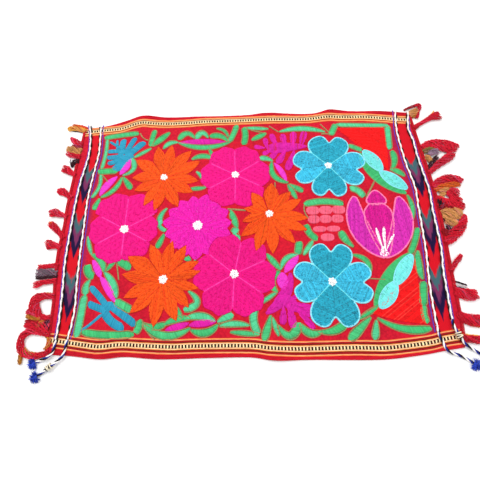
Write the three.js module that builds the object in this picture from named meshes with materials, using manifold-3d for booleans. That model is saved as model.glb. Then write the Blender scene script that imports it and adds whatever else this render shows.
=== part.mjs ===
// Embroidered cotton placemat with a knotted warp fringe and couched cords, lying flat.
// Millimetres, +Z up. The origin is on the underside, midway between the two inner cords and
// midway between the two patterned selvedges. The near long edge is towards -Y.

import * as THREE from 'three';
import { mergeVertices } from 'three/addons/utils/BufferGeometryUtils.js';
import Module from 'manifold-3d';

const wasm = await Module();
wasm.setup();

// Driving dimensions
const CLOTH_THICK = 1.6;
const SEAT_GAP = 0.3;
const CORD_DIAMETER = 2.6;
const CORD_SIDES = 8;
const SEWN_CORD_STEPS = 24;
const FLOWER_RAISE = 0.9;
const LEAF_RAISE = 0.7;
const BED_DEPTH = 0.6;
const CENTRE_RADIUS = 4.8;
const CENTRE_RAISE = 1.3;
const CENTRE_SIDES = 9;
const CENTRE_RIM_HEIGHT = 0.3;
const CENTRE_CROWN_SHARE = 0.7;
const CENTRE_CROWN_DROP = 0.25;
const STRIP_WIDTH = 1.8;
const LOCK_GAP = 0.35;
const LOCK_HEIGHT = 1.9;
const WELD = 0.02;
const MERGE_WITHIN = 1e-4;
const KNOT_RING_RADIUS = 2.7;
const KNOT_STRAND_RADIUS = 0.95;
const KNOT_STRAND_SIDES = 6;
const KNOT_RING_STEPS = 11;
const KNOT_TILT = THREE.MathUtils.degToRad(14);
const TUFT_HEAD_RADIUS = 1.6;
const TUFT_HEAD_LENGTH = 3.2;
const TUFT_HEAD_SIDES = 8;
const TUFT_HEAD_CLEARANCE = 0.05;
const TUFT_REACH = 6.6;

const CORD_RADIUS = CORD_DIAMETER / 2;
const CORD_SEAT = CLOTH_THICK + SEAT_GAP + CORD_RADIUS;

// The cloth's four edges, each from left to right or from near to far: a row for each bend
const FAR_EDGE = [
  [-206, 141.5], [-181, 143.5], [-150, 152], [-130, 157.5], [-100, 154.3], [-60, 153],
  [0, 152.6], [30, 154.2], [85, 150.3], [108, 154.8], [132, 152], [175, 150.3], [206.5, 145.5],
];
const NEAR_EDGE = [
  [-205, -136.5], [-180, -138.3], [-150, -141.7], [-125, -140], [-90, -142.8], [-40, -142.3],
  [0, -142.5], [25, -146], [60, -145.7], [125, -146.7], [165, -143.3], [190, -139.3], [207.5, -137],
];
const LEFT_EDGE = [
  [-205, -136.5], [-206.2, -108], [-207.6, -80], [-210.4, -56], [-212, -26], [-210.6, 4],
  [-211.2, 30], [-209.8, 62], [-209, 88], [-207, 118], [-206, 141.5],
];
const RIGHT_EDGE = [
  [207.5, -137], [209.8, -108], [211.2, -72], [212.6, -40], [214.2, -8], [214.6, 28],
  [213, 60], [210.6, 88], [208.4, 114], [206.5, 145.5],
];

// Soft ripples where the long edges don't lie quite flat
const RIPPLES = [
  { x: -131, side: 1, half_width: 21, height: 2.2 },
  { x: -62, side: 1, half_width: 24, height: 0.9 },
  { x: 31, side: 1, half_width: 20, height: 1.2 },
  { x: 109, side: 1, half_width: 19, height: 2 },
  { x: -150, side: -1, half_width: 17, height: 1.4 },
  { x: -30, side: -1, half_width: 18, height: 0.8 },
  { x: 26, side: -1, half_width: 14, height: 1.5 },
];
const RIPPLE_START = 116;
const RIPPLE_RUN = 34;

// Embroidered flowers: petals set out by a formula round each centre
const FLOWERS = [
  { x: -141, y: -2, radius: 42.5, kind: 'round', turn: 0 },
  { x: -13, y: 64.5, radius: 42, kind: 'round', turn: 20 },
  { x: -15, y: -58, radius: 42.5, kind: 'round', turn: -8 },
  { x: -57, y: 0, radius: 38.5, kind: 'daisy', turn: 4 },
  { x: -99, y: 64, radius: 45.5, kind: 'dahlia', turn: 20 },
  { x: -93, y: -62, radius: 45, kind: 'dahlia', turn: 25 },
  { x: 25, y: 12, radius: 43, kind: 'dahlia', turn: 23 },
  { x: 97.5, y: 73, radius: 44.5, kind: 'heart', turn: -6 },
  { x: 87.5, y: -69, radius: 45, kind: 'heart', turn: -2 },
];
const FLOWER_KINDS = {
  round: { petals: 6, notch: 0.13, broad: 0.55, cleft: 0, points_per_petal: 6 },
  daisy: { petals: 15, notch: 0.15, broad: 0.8, cleft: 0, points_per_petal: 4 },
  dahlia: { petals: 12, notch: 0.4, broad: 1.25, cleft: 0, points_per_petal: 4 },
  heart: { petals: 4, notch: 0.4, broad: 0.5, cleft: 0.2, points_per_petal: 10 },
};

// Tulip seen from the side, three petals and a cap: a row for each bend of its outline
const TULIP_OUTLINE = [
  [121, 30], [113, 12], [111, -4], [118, -27], [132, -40], [147, -43], [166, -39], [178, -26],
  [182, -8], [178, 12], [176, 28], [161, 19], [157, 33], [147, 37], [139, 31], [133, 18], [129, 29],
];

// Leaves, buds and strokes: each a blade from its root to its tip, bowed sideways by its bend
const BLADE_COLUMNS = ['x0', 'y0', 'x1', 'y1', 'width', 'bend'];
const GREEN_LEAVES = [
  [-179, 125, -135, 130, 6, 1],
  [-181, 75.5, -156, 76, 7, 0],
  [-174, 39, -179, 24, 6, 0],
  [-150, 69, -141, 93, 5, -9],
  [-117, 110, -95, 130, 7.5, 0],
  [-83, 118, -63, 119, 6.5, 9],
  [-61, 118, -46, 119, 6.5, 9],
  [-44, 121, -21, 112, 6, 5],
  [-18, 112, -84, 114, 6, 8],
  [-66, 88, -38, 87, 5.5, 5],
  [-92, 23, -92, -6, 6, -8],
  [-1, 133, -2, 107, 6.5, 2],
  [8, 113, 27, 123, 5.5, 0],
  [43, 124, 100, 121, 6, 5],
  [106, 116, 114, 132, 6, 0],
  [114, 131, 178, 127, 5, 0],
  [177, 127, 174, 92, 6, 0],
  [176, 90, 170, 62, 6, 4],
  [32, 81, 50, 51, 5, -9],
  [120, 41, 134, 29, 7, 3],
  [66, -3, 77, -21, 6.5, -3],
  [57, -23, 54, -38, 7, 0],
  [34, -56, 30, -79, 6.5, -8],
  [103, -12, 115, -31, 7, -2],
  [182, -37, 181, -69, 6.5, -2],
  [181, -71, 176, -96, 6.5, 0],
  [128, -107, 179, -118, 7, -6],
  [122, -106, 98, -128, 8, 0],
  [127, -109, 123, -127, 6, 0],
  [97, -111, 68, -119, 7.5, 4],
  [72, -119, 51, -111, 6.5, 6],
  [50, -110, 28, -112, 7.5, 12],
  [22, -102, 14, -126, 7, 0],
  [7, -92, 9, -121, 7, -4],
  [-33, -108, -17, -100, 7.5, 0],
  [-88, -110, -60, -104, 6, 3],
  [-66, -104, -35, -107, 7, 4],
  [-68, -95, -64, -75, 7, -12],
  [-110, -108, -60, -113, 6.5, -10],
  [-60, -115, -32, -110, 6.5, -6],
  [-69, -41, -53, -44, 7, 6],
  [-19, 18, -11, -5, 6, 0],
  [-157, -52, -140, -81, 6.5, 3],
  [-176, -43, -168, -57, 7, -3],
  [-171, -60, -173, -76, 7, -3],
  [-175, -77, -177, -119, 7, 0],
  [-172, -115, -118, -118, 6, -2],
  [-117, -117, -114, -104, 6.5, -2],
  [-143, -39, -128, -48, 7.5, 0],
  [-141, -84, -123, -94, 7, 0],
];
const BUDS = [
  [-153, 70, -143, 92, 9, 0],
  [-174, 43, -156, 68, 9, 0],
  [-84, 113, -26, 112, 9, 0],
  [34, 78, 47, 54, 7, 0],
  [54, -39, 39, -58, 9, 0],
  [-84, -113, -64, -110, 7, 0],
  [-63, -111, -36, -107, 8, 0],
  [-171, -39, -161, -57, 7.5, 0],
  [-159, -59, -142, -84, 8, 0],
  [142, 93, 185, 38, 16, 1],
  [175, -42, 132, -96, 15, 1],
  [37, -57, 37, -79, 15, 0],
];
const STROKES = [
  [-151, 98, -151, 123, 7, 0],
  [-148, 101, -136, 123, 6, 0],
  [-146, 97, -126, 117, 8, 0],
  [-150, 103, -173, 102, 7, 0],
  [-147, 100, -161, 80, 13, 0],
  [-169, -69, -146, -93, 6, 0],
  [-169, -86, -151, -95, 6, 0],
  [-148, -87, -119, -108, 7.5, 0],
  [-151, -93, -135, -112, 8, -2],
  [66, 19, 79, 18, 8, 0],
  [81, 17, 100, 14, 8, 0],
  [102, 14, 112, 12, 8, 0],
  [66, 7, 82, 3, 8, 0],
  [84, 3, 95, 1, 8, 0],
  [97, 1, 107, 0, 8, 0],
  [72, -6, 88, -8, 8, 0],
  [90, -8, 104, -7, 8, 0],
  [78, -16, 97, -17, 10, 0],
  [64, 23, 112, 22, 8, 3],
];

// Couched cords, two pairs: where each lies across the mat as it runs from near to far
const COUCHED_CORDS = {
  left_outer: [
    [-197.6, -122], [-197.5, -100], [-199.3, -70], [-201.8, -40], [-202, -10], [-201.5, 30],
    [-200, 60], [-197.3, 80], [-195.1, 100], [-196, 120], [-198, 134], [-200.5, 146],
  ],
  left_inner: [
    [-185.4, -122], [-183.6, -108], [-182.8, -90], [-185, -60], [-186.3, -30], [-186.9, 0],
    [-187.6, 36], [-186, 62], [-184.5, 80], [-182.6, 100], [-183.5, 120], [-185.6, 145],
  ],
  right_inner: [
    [184.3, -122], [184.7, -100], [186.2, -72], [189.6, -40], [191, -14], [192.2, 14],
    [193.4, 36], [191.4, 54], [189, 70], [187.2, 95], [186.6, 120], [190, 149.5],
  ],
  right_outer: [
    [200.4, -110], [201.5, -88], [203, -60], [206, -38], [206.8, -12], [207, 10],
    [208.3, 34], [206.6, 54], [204.2, 80], [203.4, 104], [201, 121], [205.5, 146],
  ],
};

// Free cord ends at the near edge, from the last couching stitch to the tuft.
// They leave the cloth, come down to the surface and lie on it.
const CORD_TAILS = {
  left_outer: [
    [-197.6, -122.3, 3.2], [-197.6, -125, 3.2], [-197.7, -127.7, 3.2], [-197.9, -130.4, 3.2],
    [-198.4, -133, 3.2], [-199.5, -135.5, 3.2], [-201.3, -137.6, 3.2], [-203.6, -139.1, 3.2],
    [-206, -140.2, 2.8], [-208.5, -141.1, 2.1], [-210.9, -142, 1.5], [-213.3, -142.9, 1.32],
    [-215.2, -143.6, 1.32],
  ],
  left_inner: [
    [-185.4, -122.3, 3.2], [-185.7, -125.3, 3.2], [-186.1, -128.3, 3.2], [-186.4, -131.3, 3.2],
    [-186.7, -134.3, 3.2], [-187.5, -137.2, 3.2], [-189.2, -139.8, 3.2], [-191.5, -142, 3],
    [-193.9, -144, 2.9], [-196.4, -146, 3.3], [-199, -147.9, 3.7], [-201.6, -149.8, 3.5],
    [-204.2, -151.6, 2.7], [-206.7, -153.3, 1.8], [-209.1, -154.9, 1.35], [-211, -156.1, 1.32],
  ],
  right_inner: [
    [184.3, -122.3, 3.2], [184.9, -125.3, 3.2], [185.8, -128.3, 3.2], [186.6, -131.2, 3.2],
    [187.3, -134.2, 3.2], [188.3, -137.1, 3.2], [190.1, -139.6, 3.2], [192.7, -141.4, 3.2],
    [195.7, -142.4, 2.8], [198.8, -143.3, 2.1], [201.7, -144.5, 1.5], [204.5, -146, 1.32],
    [207.1, -147.7, 1.32], [209.6, -149.5, 1.32], [211.6, -151, 1.32],
  ],
  right_outer: [
    [200.4, -110.3, 3.2], [200.2, -113.3, 3.2], [200.3, -116.3, 3.5], [200.8, -119.2, 4.3],
    [201.4, -122, 5.2], [202.2, -124.9, 5.65], [203.3, -127.7, 5.5], [204.7, -130.3, 4.7],
    [206.5, -132.7, 3.8], [208.8, -134.9, 3.3], [211.3, -136.8, 3.2], [213.8, -138.6, 2.7],
    [216.3, -140.3, 1.9], [218.9, -141.9, 1.4], [221.6, -143.3, 1.32], [223.6, -144.3, 1.32],
  ],
};
const KNOTS = [
  { cord: 'left_inner', at_point: 10 },
  { cord: 'right_outer', at_point: 5 },
];

// Fringe tassels: warp ends tied off in groups. Each fans out from its roots along the edge
// (centred on root_y, over root_span) by way of a bend to its tips.
const TASSEL_COLUMNS = [
  'root_y', 'root_span', 'bend_x', 'bend_y', 'tip_x', 'tip_y', 'tip_span', 'locks',
];
const LEFT_TASSELS = [
  [135.3, 7.5, -217, 139, -230, 145, 11, 5],
  [112, 21, -218, 114, -229, 119, 26, 11],
  [90, 9, -213, 90, -216.5, 89, 11, 4],
  [77, 6, -222, 77, -231.5, 85.5, 7, 4],
  [42.5, 9, -221, 44, -230.5, 52.5, 8, 5],
  [17, 7, -223, 20, -237, 21.5, 7, 4],
  [-5, 8, -223, -3, -235, 10, 7, 5],
  [-21.5, 6.5, -222, -17, -233.5, -18, 10, 5],
  [-51, 22, -223, -52, -237, -53, 25, 11],
  [-76.5, 5, -224, -73, -237.5, -83, 15, 5],
  [-103.5, 14, -223, -101, -240, -104, 14, 7],
  [-116, 5, -235, -110, -235, -142, 6, 4],
  [-132, 4.5, -219, -134.5, -229, -133.5, 5, 3],
];
const RIGHT_TASSELS = [
  [138, 9, 213, 146, 219.5, 152.5, 14, 6],
  [127, 7, 226, 131, 246.5, 144, 8, 4],
  [79, 31, 230, 86, 252, 95, 24, 13],
  [27, 32, 229, 31, 247, 38, 33, 14],
  [-9, 33, 229, -9, 244, -6, 30, 13],
  [-57, 4, 218, -54, 227.5, -40.5, 3, 2],
  [-80, 18, 223, -79, 235, -76, 18, 7],
  [-111, 16, 222, -112, 234, -111, 19, 7],
  [-126, 5, 221, -128, 231, -131, 7, 3],
];
const LOCK_LENGTH_STEPS = [0, -1.6, 0.7, -0.8, 1.2, -2.2, -0.2];
const LOCK_HEIGHT_STEPS = [1, 0.78, 1.12, 0.9, 1.2];

const COLOURS = {
  ground: 0xd21a30,
  fringe: 0xc8162a,
  cord: 0xe8e2dc,
  tuft: 0x2a3fae,
  knot: 0xd8cfc2,
};

// A row of bare numbers, read by its column names
function readRow(columns, row) {
  return Object.fromEntries(columns.map((name, index) => [name, row[index]]));
}

function edgeCurve(rows) {
  return new THREE.SplineCurve(rows.map(([x, y]) => new THREE.Vector2(x, y)));
}

const EDGES = {
  far: edgeCurve(FAR_EDGE),
  near: edgeCurve(NEAR_EDGE),
  left: edgeCurve(LEFT_EDGE),
  right: edgeCurve(RIGHT_EDGE),
};

// A place on the cloth from its share of the way across (u) and from near to far (v)
function clothPoint(u, v) {
  const near = EDGES.near.getPointAt(u);
  const far = EDGES.far.getPointAt(u);
  const left = EDGES.left.getPointAt(v);
  const right = EDGES.right.getPointAt(v);
  const corner = (edge, end) => edge.getPointAt(end);
  const point = new THREE.Vector2();
  point.addScaledVector(near, 1 - v).addScaledVector(far, v);
  point.addScaledVector(left, 1 - u).addScaledVector(right, u);
  point.addScaledVector(corner(EDGES.near, 0), -(1 - u) * (1 - v));
  point.addScaledVector(corner(EDGES.near, 1), -u * (1 - v));
  point.addScaledVector(corner(EDGES.far, 0), -(1 - u) * v);
  point.addScaledVector(corner(EDGES.far, 1), -u * v);
  return point;
}

// How far the cloth stands off the surface at a place
function lift(x, y) {
  let total = 0;
  for (const ripple of RIPPLES) {
    const reach = THREE.MathUtils.clamp((ripple.side * y - RIPPLE_START) / RIPPLE_RUN, 0, 1);
    const across = Math.exp(-(((x - ripple.x) / ripple.half_width) ** 2));
    total += ripple.height * across * reach * reach;
  }
  return total;
}

function indexedGeometry(positions, index) {
  const geometry = new THREE.BufferGeometry();
  geometry.setAttribute('position', new THREE.Float32BufferAttribute(positions, 3));
  geometry.setIndex(index);
  return geometry;
}

// A closed mesh as a solid that can be joined or cut, turned right way out if need be
function asSolid(geometry) {
  const plain = geometry.clone();
  plain.deleteAttribute('normal');
  plain.deleteAttribute('uv');
  const merged = mergeVertices(plain, MERGE_WITHIN);
  const vertProperties = new Float32Array(merged.getAttribute('position').array);
  const triVerts = new Uint32Array(merged.getIndex().array);
  if (signedVolume(vertProperties, triVerts) < 0) {
    for (let i = 0; i < triVerts.length; i += 3) {
      [triVerts[i], triVerts[i + 1]] = [triVerts[i + 1], triVerts[i]];
    }
  }
  return new wasm.Manifold(new wasm.Mesh({ numProp: 3, vertProperties, triVerts }));
}

function signedVolume(positions, triangles) {
  const corner = (i) => new THREE.Vector3().fromArray(positions, triangles[i] * 3);
  let volume = 0;
  for (let i = 0; i < triangles.length; i += 3) {
    volume += corner(i).dot(corner(i + 1).cross(corner(i + 2))) / 6;
  }
  return volume;
}

function asGeometry(solid) {
  const mesh = solid.getMesh();
  return indexedGeometry(Array.from(mesh.vertProperties), Array.from(mesh.triVerts));
}

// One solid from several, with slivers shorter than the weld closed up
function unite(solids) {
  return wasm.Manifold.union(solids).simplify(WELD);
}

// The flat sheet, closed: a grid on top, the same grid underneath, and a wall round the edge
const CLOTH_COLUMNS = 36;
const CLOTH_ROWS = [
  0, 0.03, 0.065, 0.11, 0.18, 0.27, 0.37, 0.47, 0.57, 0.66, 0.75, 0.83, 0.89, 0.935, 0.97, 1,
];

function clothSheet() {
  const across = CLOTH_COLUMNS + 1;
  const layer = across * CLOTH_ROWS.length;
  const positions = [];
  for (const height of [CLOTH_THICK, 0]) {
    for (const v of CLOTH_ROWS) {
      for (let column = 0; column < across; column += 1) {
        const { x, y } = clothPoint(column / CLOTH_COLUMNS, v);
        positions.push(x, y, height + lift(x, y));
      }
    }
  }
  const index = [];
  const quad = (a, b, c, d) => index.push(a, b, c, a, c, d);
  for (let row = 0; row < CLOTH_ROWS.length - 1; row += 1) {
    for (let column = 0; column < CLOTH_COLUMNS; column += 1) {
      const a = row * across + column;
      quad(a, a + 1, a + across + 1, a + across);
      quad(a + layer, a + across + layer, a + across + 1 + layer, a + 1 + layer);
    }
  }
  const wall = (a, b) => quad(a + layer, b + layer, b, a);
  const last = (CLOTH_ROWS.length - 1) * across;
  for (let column = 0; column < CLOTH_COLUMNS; column += 1) {
    wall(column, column + 1);
    wall(last + column + 1, last + column);
  }
  for (let row = 0; row < CLOTH_ROWS.length - 1; row += 1) {
    wall((row + 1) * across, row * across);
    wall(row * across + CLOTH_COLUMNS, (row + 1) * across + CLOTH_COLUMNS);
  }
  return asSolid(indexedGeometry(positions, index));
}

// A padded patch of stitching of the given outline, bedded in the cloth and following its lift
function stitchedPatch(outline, raise) {
  const shape = new THREE.Shape(outline);
  const geometry = new THREE.ExtrudeGeometry(shape, {
    depth: BED_DEPTH + raise,
    bevelEnabled: false,
    steps: 1,
  });
  geometry.translate(0, 0, CLOTH_THICK - BED_DEPTH);
  const position = geometry.getAttribute('position');
  for (let i = 0; i < position.count; i += 1) {
    position.setZ(i, position.getZ(i) + lift(position.getX(i), position.getY(i)));
  }
  return asSolid(geometry);
}

const CLEFT_WIDTH = 0.3;

function flowerOutline(flower) {
  const kind = FLOWER_KINDS[flower.kind];
  const count = kind.petals * kind.points_per_petal;
  const outline = [];
  for (let i = 0; i < count; i += 1) {
    const around = (i / count) * 2 * Math.PI;
    const petal = (kind.petals * around) / 2;
    const gap = 1 - Math.abs(Math.cos(petal)) ** kind.broad;
    const cleft = Math.exp(-((Math.sin(petal) / CLEFT_WIDTH) ** 2));
    const radius = flower.radius * (1 - kind.notch * gap - kind.cleft * cleft);
    const angle = around + THREE.MathUtils.degToRad(flower.turn);
    const x = flower.x + radius * Math.cos(angle);
    const y = flower.y + radius * Math.sin(angle);
    outline.push(new THREE.Vector2(x, y));
  }
  return outline;
}

const BLADE_STATIONS = 4;
const BLADE_FULLNESS = 0.45;

function bladeOutline(row) {
  const blade = readRow(BLADE_COLUMNS, row);
  const root = new THREE.Vector2(blade.x0, blade.y0);
  const tip = new THREE.Vector2(blade.x1, blade.y1);
  const along = tip.clone().sub(root).normalize();
  const left = new THREE.Vector2(-along.y, along.x);
  const control = root.clone().add(tip).multiplyScalar(0.5).addScaledVector(left, 2 * blade.bend);
  const spine = new THREE.QuadraticBezierCurve(root, control, tip);
  const sides = [[], []];
  for (let i = 1; i < BLADE_STATIONS; i += 1) {
    const t = i / BLADE_STATIONS;
    const point = spine.getPoint(t);
    const tangent = spine.getTangent(t);
    const half = (blade.width / 2) * Math.sin(Math.PI * t) ** BLADE_FULLNESS;
    const normal = new THREE.Vector2(-tangent.y, tangent.x);
    sides[0].push(point.clone().addScaledVector(normal, -half));
    sides[1].unshift(point.clone().addScaledVector(normal, half));
  }
  return [root, ...sides[0], tip, ...sides[1]];
}

// The pale knotted middle of a flower, a low dome
function flowerCentre(flower) {
  const top = FLOWER_RAISE + CENTRE_RAISE;
  const profile = [
    new THREE.Vector2(0, -BED_DEPTH),
    new THREE.Vector2(CENTRE_RADIUS, -BED_DEPTH),
    new THREE.Vector2(CENTRE_RADIUS, FLOWER_RAISE + CENTRE_RIM_HEIGHT),
    new THREE.Vector2(CENTRE_RADIUS * CENTRE_CROWN_SHARE, top - CENTRE_CROWN_DROP),
    new THREE.Vector2(0, top),
  ];
  const dome = new THREE.LatheGeometry(profile, CENTRE_SIDES);
  dome.rotateX(Math.PI / 2);
  dome.translate(flower.x, flower.y, CLOTH_THICK);
  return asSolid(dome);
}

function groundCloth() {
  const tulip = new THREE.SplineCurve(TULIP_OUTLINE.map(([x, y]) => new THREE.Vector2(x, y)));
  const patches = [
    ...FLOWERS.map((flower) => stitchedPatch(flowerOutline(flower), FLOWER_RAISE)),
    ...FLOWERS.map(flowerCentre),
    stitchedPatch(tulip.points, FLOWER_RAISE),
    ...GREEN_LEAVES.map((row) => stitchedPatch(bladeOutline(row), LEAF_RAISE)),
    ...BUDS.map((row) => stitchedPatch(bladeOutline(row), FLOWER_RAISE)),
    ...STROKES.map((row) => stitchedPatch(bladeOutline(row), LEAF_RAISE)),
  ];
  return asGeometry(unite([clothSheet(), ...patches]));
}

// A closed strand through the given sections, each a ring of three or four corners
function strand(sections) {
  const positions = sections.flat().flatMap((corner) => corner.toArray());
  const index = [];
  const ring = sections[0].length;
  for (let i = 0; i < sections.length - 1; i += 1) {
    for (let side = 0; side < ring; side += 1) {
      const a = i * ring + side;
      const b = i * ring + ((side + 1) % ring);
      index.push(a, b, b + ring, a, b + ring, a + ring);
    }
  }
  const last = (sections.length - 1) * ring;
  for (let corner = 1; corner < ring - 1; corner += 1) {
    index.push(0, corner + 1, corner);
    index.push(last, last + corner, last + corner + 1);
  }
  return asSolid(indexedGeometry(positions, index));
}

// An upright three-sided section of a strand that rests on the surface, its ridge uppermost
function restingSection(point, tangent, width, height) {
  const side = new THREE.Vector2(-tangent.y, tangent.x).normalize();
  const foot = (share) => point.clone().addScaledVector(side, share * width);
  const corner = (share, z) => new THREE.Vector3(foot(share).x, foot(share).y, z);
  return [corner(-0.5, 0), corner(0.5, 0), corner(0, height)];
}

// Where a lock is cut into sections: its share of the length, of its width and of its height
const LOCK_STATIONS = [
  { share: 0, width: 0.9, height: 0.8 },
  { share: 0.36, width: 1, height: 1.1 },
  { share: 0.78, width: 1, height: 0.85 },
  { share: 1, width: 0.5, height: 0.5 },
];

// Where an edge lies at a given y
const EDGE_STEPS = 120;

function edgeX(curve, y) {
  const rows = curve.getSpacedPoints(EDGE_STEPS);
  const next = Math.max(1, rows.findIndex((point) => point.y >= y));
  const [a, b] = [rows[next - 1], rows[next]];
  return THREE.MathUtils.lerp(a.x, b.x, (y - a.y) / (b.y - a.y));
}

function tasselLocks(row, curve, outward) {
  const tassel = readRow(TASSEL_COLUMNS, row);
  const locks = [];
  for (let i = 0; i < tassel.locks; i += 1) {
    const share = (i + 0.5) / tassel.locks - 0.5;
    const rootY = tassel.root_y - outward * share * tassel.root_span;
    const rootX = edgeX(curve, rootY) + outward * (SEAT_GAP + STRIP_WIDTH / 2);
    const bend = new THREE.Vector2(tassel.bend_x, tassel.bend_y);
    const tip = new THREE.Vector2(tassel.tip_x, tassel.tip_y);
    const heading = tip.clone().sub(bend).normalize();
    const side = new THREE.Vector2(heading.y, -heading.x);
    const bendSpan = (tassel.root_span + tassel.tip_span) / 2;
    const lengthen = LOCK_LENGTH_STEPS[i % LOCK_LENGTH_STEPS.length];
    bend.addScaledVector(side, share * bendSpan);
    tip.addScaledVector(side, share * tassel.tip_span).addScaledVector(heading, lengthen);
    const path = new THREE.QuadraticBezierCurve(new THREE.Vector2(rootX, rootY), bend, tip);
    const height = LOCK_HEIGHT * LOCK_HEIGHT_STEPS[i % LOCK_HEIGHT_STEPS.length];
    const sections = LOCK_STATIONS.map((station) => {
      const span = THREE.MathUtils.lerp(tassel.root_span, tassel.tip_span, station.share);
      const width = (span / tassel.locks - LOCK_GAP) * station.width;
      const point = path.getPoint(station.share);
      return restingSection(point, path.getTangent(station.share), width, height * station.height);
    });
    locks.push(strand(sections));
  }
  return locks;
}

// The narrow strip of weft that holds the roots of a fringe, just off the cloth's edge
const STRIP_ENDS = [0.006, 0.993];

function fringeStrip(curve, outward) {
  const rows = [STRIP_ENDS[0], ...CLOTH_ROWS.slice(1, -1), STRIP_ENDS[1]];
  const points = rows.map((v) => curve.getPointAt(v));
  const sections = points.map(({ x, y }) => {
    const inner = x + outward * SEAT_GAP;
    const outer = inner + outward * STRIP_WIDTH;
    return [
      new THREE.Vector3(inner, y, 0),
      new THREE.Vector3(outer, y, 0),
      new THREE.Vector3(outer, y, CLOTH_THICK),
      new THREE.Vector3(inner, y, CLOTH_THICK),
    ];
  });
  return strand(sections);
}

function fringe(rows, curve, outward) {
  const locks = rows.flatMap((row) => tasselLocks(row, curve, outward));
  return asGeometry(unite([fringeStrip(curve, outward), ...locks]));
}

// A cord's section, an even-sided ring
function cordSection() {
  const corners = [];
  for (let i = 0; i < CORD_SIDES; i += 1) {
    const angle = (2 * Math.PI * (i + 0.5)) / CORD_SIDES;
    corners.push(new THREE.Vector2(CORD_RADIUS * Math.cos(angle), CORD_RADIUS * Math.sin(angle)));
  }
  return new THREE.Shape(corners);
}

function cordAlong(points, steps) {
  const extrudePath = new THREE.CatmullRomCurve3(points, false, 'centripetal');
  return new THREE.ExtrudeGeometry(cordSection(), { steps, extrudePath, bevelEnabled: false });
}

function couchedCord(rows) {
  return cordAlong(rows.map(([x, y]) => new THREE.Vector3(x, y, CORD_SEAT)), SEWN_CORD_STEPS);
}

function tailPoints(name) {
  return CORD_TAILS[name].map(([x, y, z]) => new THREE.Vector3(x, y, z));
}

// A knot pulled up round the cord: two tilted loops that leave a way through for the cord
function cordKnot({ cord, at_point }) {
  const points = tailPoints(cord);
  const heading = points[at_point + 1].clone().sub(points[at_point - 1]).normalize();
  const turn = new THREE.Quaternion().setFromUnitVectors(new THREE.Vector3(0, 0, 1), heading);
  const loops = [KNOT_TILT, -KNOT_TILT].map((tilt) => {
    const loop = new THREE.TorusGeometry(
      KNOT_RING_RADIUS,
      KNOT_STRAND_RADIUS,
      KNOT_STRAND_SIDES,
      KNOT_RING_STEPS,
    );
    loop.rotateX(tilt);
    loop.applyQuaternion(turn);
    loop.translate(...points[at_point].toArray());
    return asSolid(loop);
  });
  return asGeometry(unite(loops));
}

// The yarn ends of a tuft: those that lie on the surface, and those that rise from the head
const LOW_YARNS = {
  count: 9,
  fan: THREE.MathUtils.degToRad(230),
  shorter: 0.14,
  root: { share: 0.12, width: 0.9, height: 1.6 },
  tip: { share: 1, width: 1.5, height: 1.1 },
};
const HIGH_YARNS = {
  count: 4,
  fan: THREE.MathUtils.degToRad(150),
  rise: THREE.MathUtils.degToRad(34),
  length: 0.8,
  shorter: 0.1,
  root: { share: 0.1, half: 0.5 },
  tip: { share: 1, half: 0.7 },
};
const YARN_ROOT_OFFSET = 0.9;

// A brush of yarn ends beyond the whipped head at the end of a cord
function endTuft(name) {
  const points = tailPoints(name);
  const end = points[points.length - 1];
  const before = points[points.length - 2];
  const heading = new THREE.Vector3(end.x - before.x, end.y - before.y, 0).normalize();
  const middle = end.clone().addScaledVector(heading, SEAT_GAP + TUFT_HEAD_LENGTH / 2);
  middle.z = TUFT_HEAD_RADIUS + TUFT_HEAD_CLEARANCE;
  const root = middle.clone().addScaledVector(heading, YARN_ROOT_OFFSET);
  const ahead = Math.atan2(heading.y, heading.x);
  const solids = [tuftHead(middle, heading)];
  for (let i = 0; i < LOW_YARNS.count; i += 1) {
    const angle = ahead + (i / (LOW_YARNS.count - 1) - 0.5) * LOW_YARNS.fan;
    solids.push(lyingYarn(root, angle, TUFT_REACH * (1 - LOW_YARNS.shorter * (i % 3))));
  }
  for (let i = 0; i < HIGH_YARNS.count; i += 1) {
    const angle = ahead + (i / (HIGH_YARNS.count - 1) - 0.5) * HIGH_YARNS.fan;
    const reach = TUFT_REACH * (HIGH_YARNS.length - HIGH_YARNS.shorter * (i % 2));
    solids.push(risingYarn(root, angle, reach));
  }
  return asGeometry(unite(solids));
}

function tuftHead(middle, heading) {
  const head = new THREE.CylinderGeometry(
    TUFT_HEAD_RADIUS,
    TUFT_HEAD_RADIUS,
    TUFT_HEAD_LENGTH,
    TUFT_HEAD_SIDES,
  );
  const along = new THREE.Vector3(0, 1, 0);
  head.applyQuaternion(new THREE.Quaternion().setFromUnitVectors(along, heading));
  head.translate(...middle.toArray());
  return asSolid(head);
}

// A yarn end that lies on the surface
function lyingYarn(root, angle, reach) {
  const tangent = new THREE.Vector2(Math.cos(angle), Math.sin(angle));
  const start = new THREE.Vector2(root.x, root.y);
  return strand([LOW_YARNS.root, LOW_YARNS.tip].map(({ share, width, height }) => {
    const point = start.clone().addScaledVector(tangent, reach * share);
    return restingSection(point, tangent, width, height);
  }));
}

// A yarn end that rises out of a tuft's head
function risingYarn(root, angle, reach) {
  const level = Math.cos(HIGH_YARNS.rise);
  const climb = Math.sin(HIGH_YARNS.rise);
  const along = new THREE.Vector3(level * Math.cos(angle), level * Math.sin(angle), climb);
  const side = new THREE.Vector3(-Math.sin(angle), Math.cos(angle), 0);
  const up = side.clone().cross(along).negate();
  const corners = [[-1, -1], [1, -1], [0, 1]];
  return strand([HIGH_YARNS.root, HIGH_YARNS.tip].map(({ share, half }) => {
    const point = root.clone().setZ(TUFT_HEAD_RADIUS).addScaledVector(along, reach * share);
    return corners.map(([a, b]) => (
      point.clone().addScaledVector(side, a * half).addScaledVector(up, b * half)
    ));
  }));
}

function material(colour, roughness) {
  return new THREE.MeshStandardMaterial({ color: colour, roughness, metalness: 0, flatShading: true });
}

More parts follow.
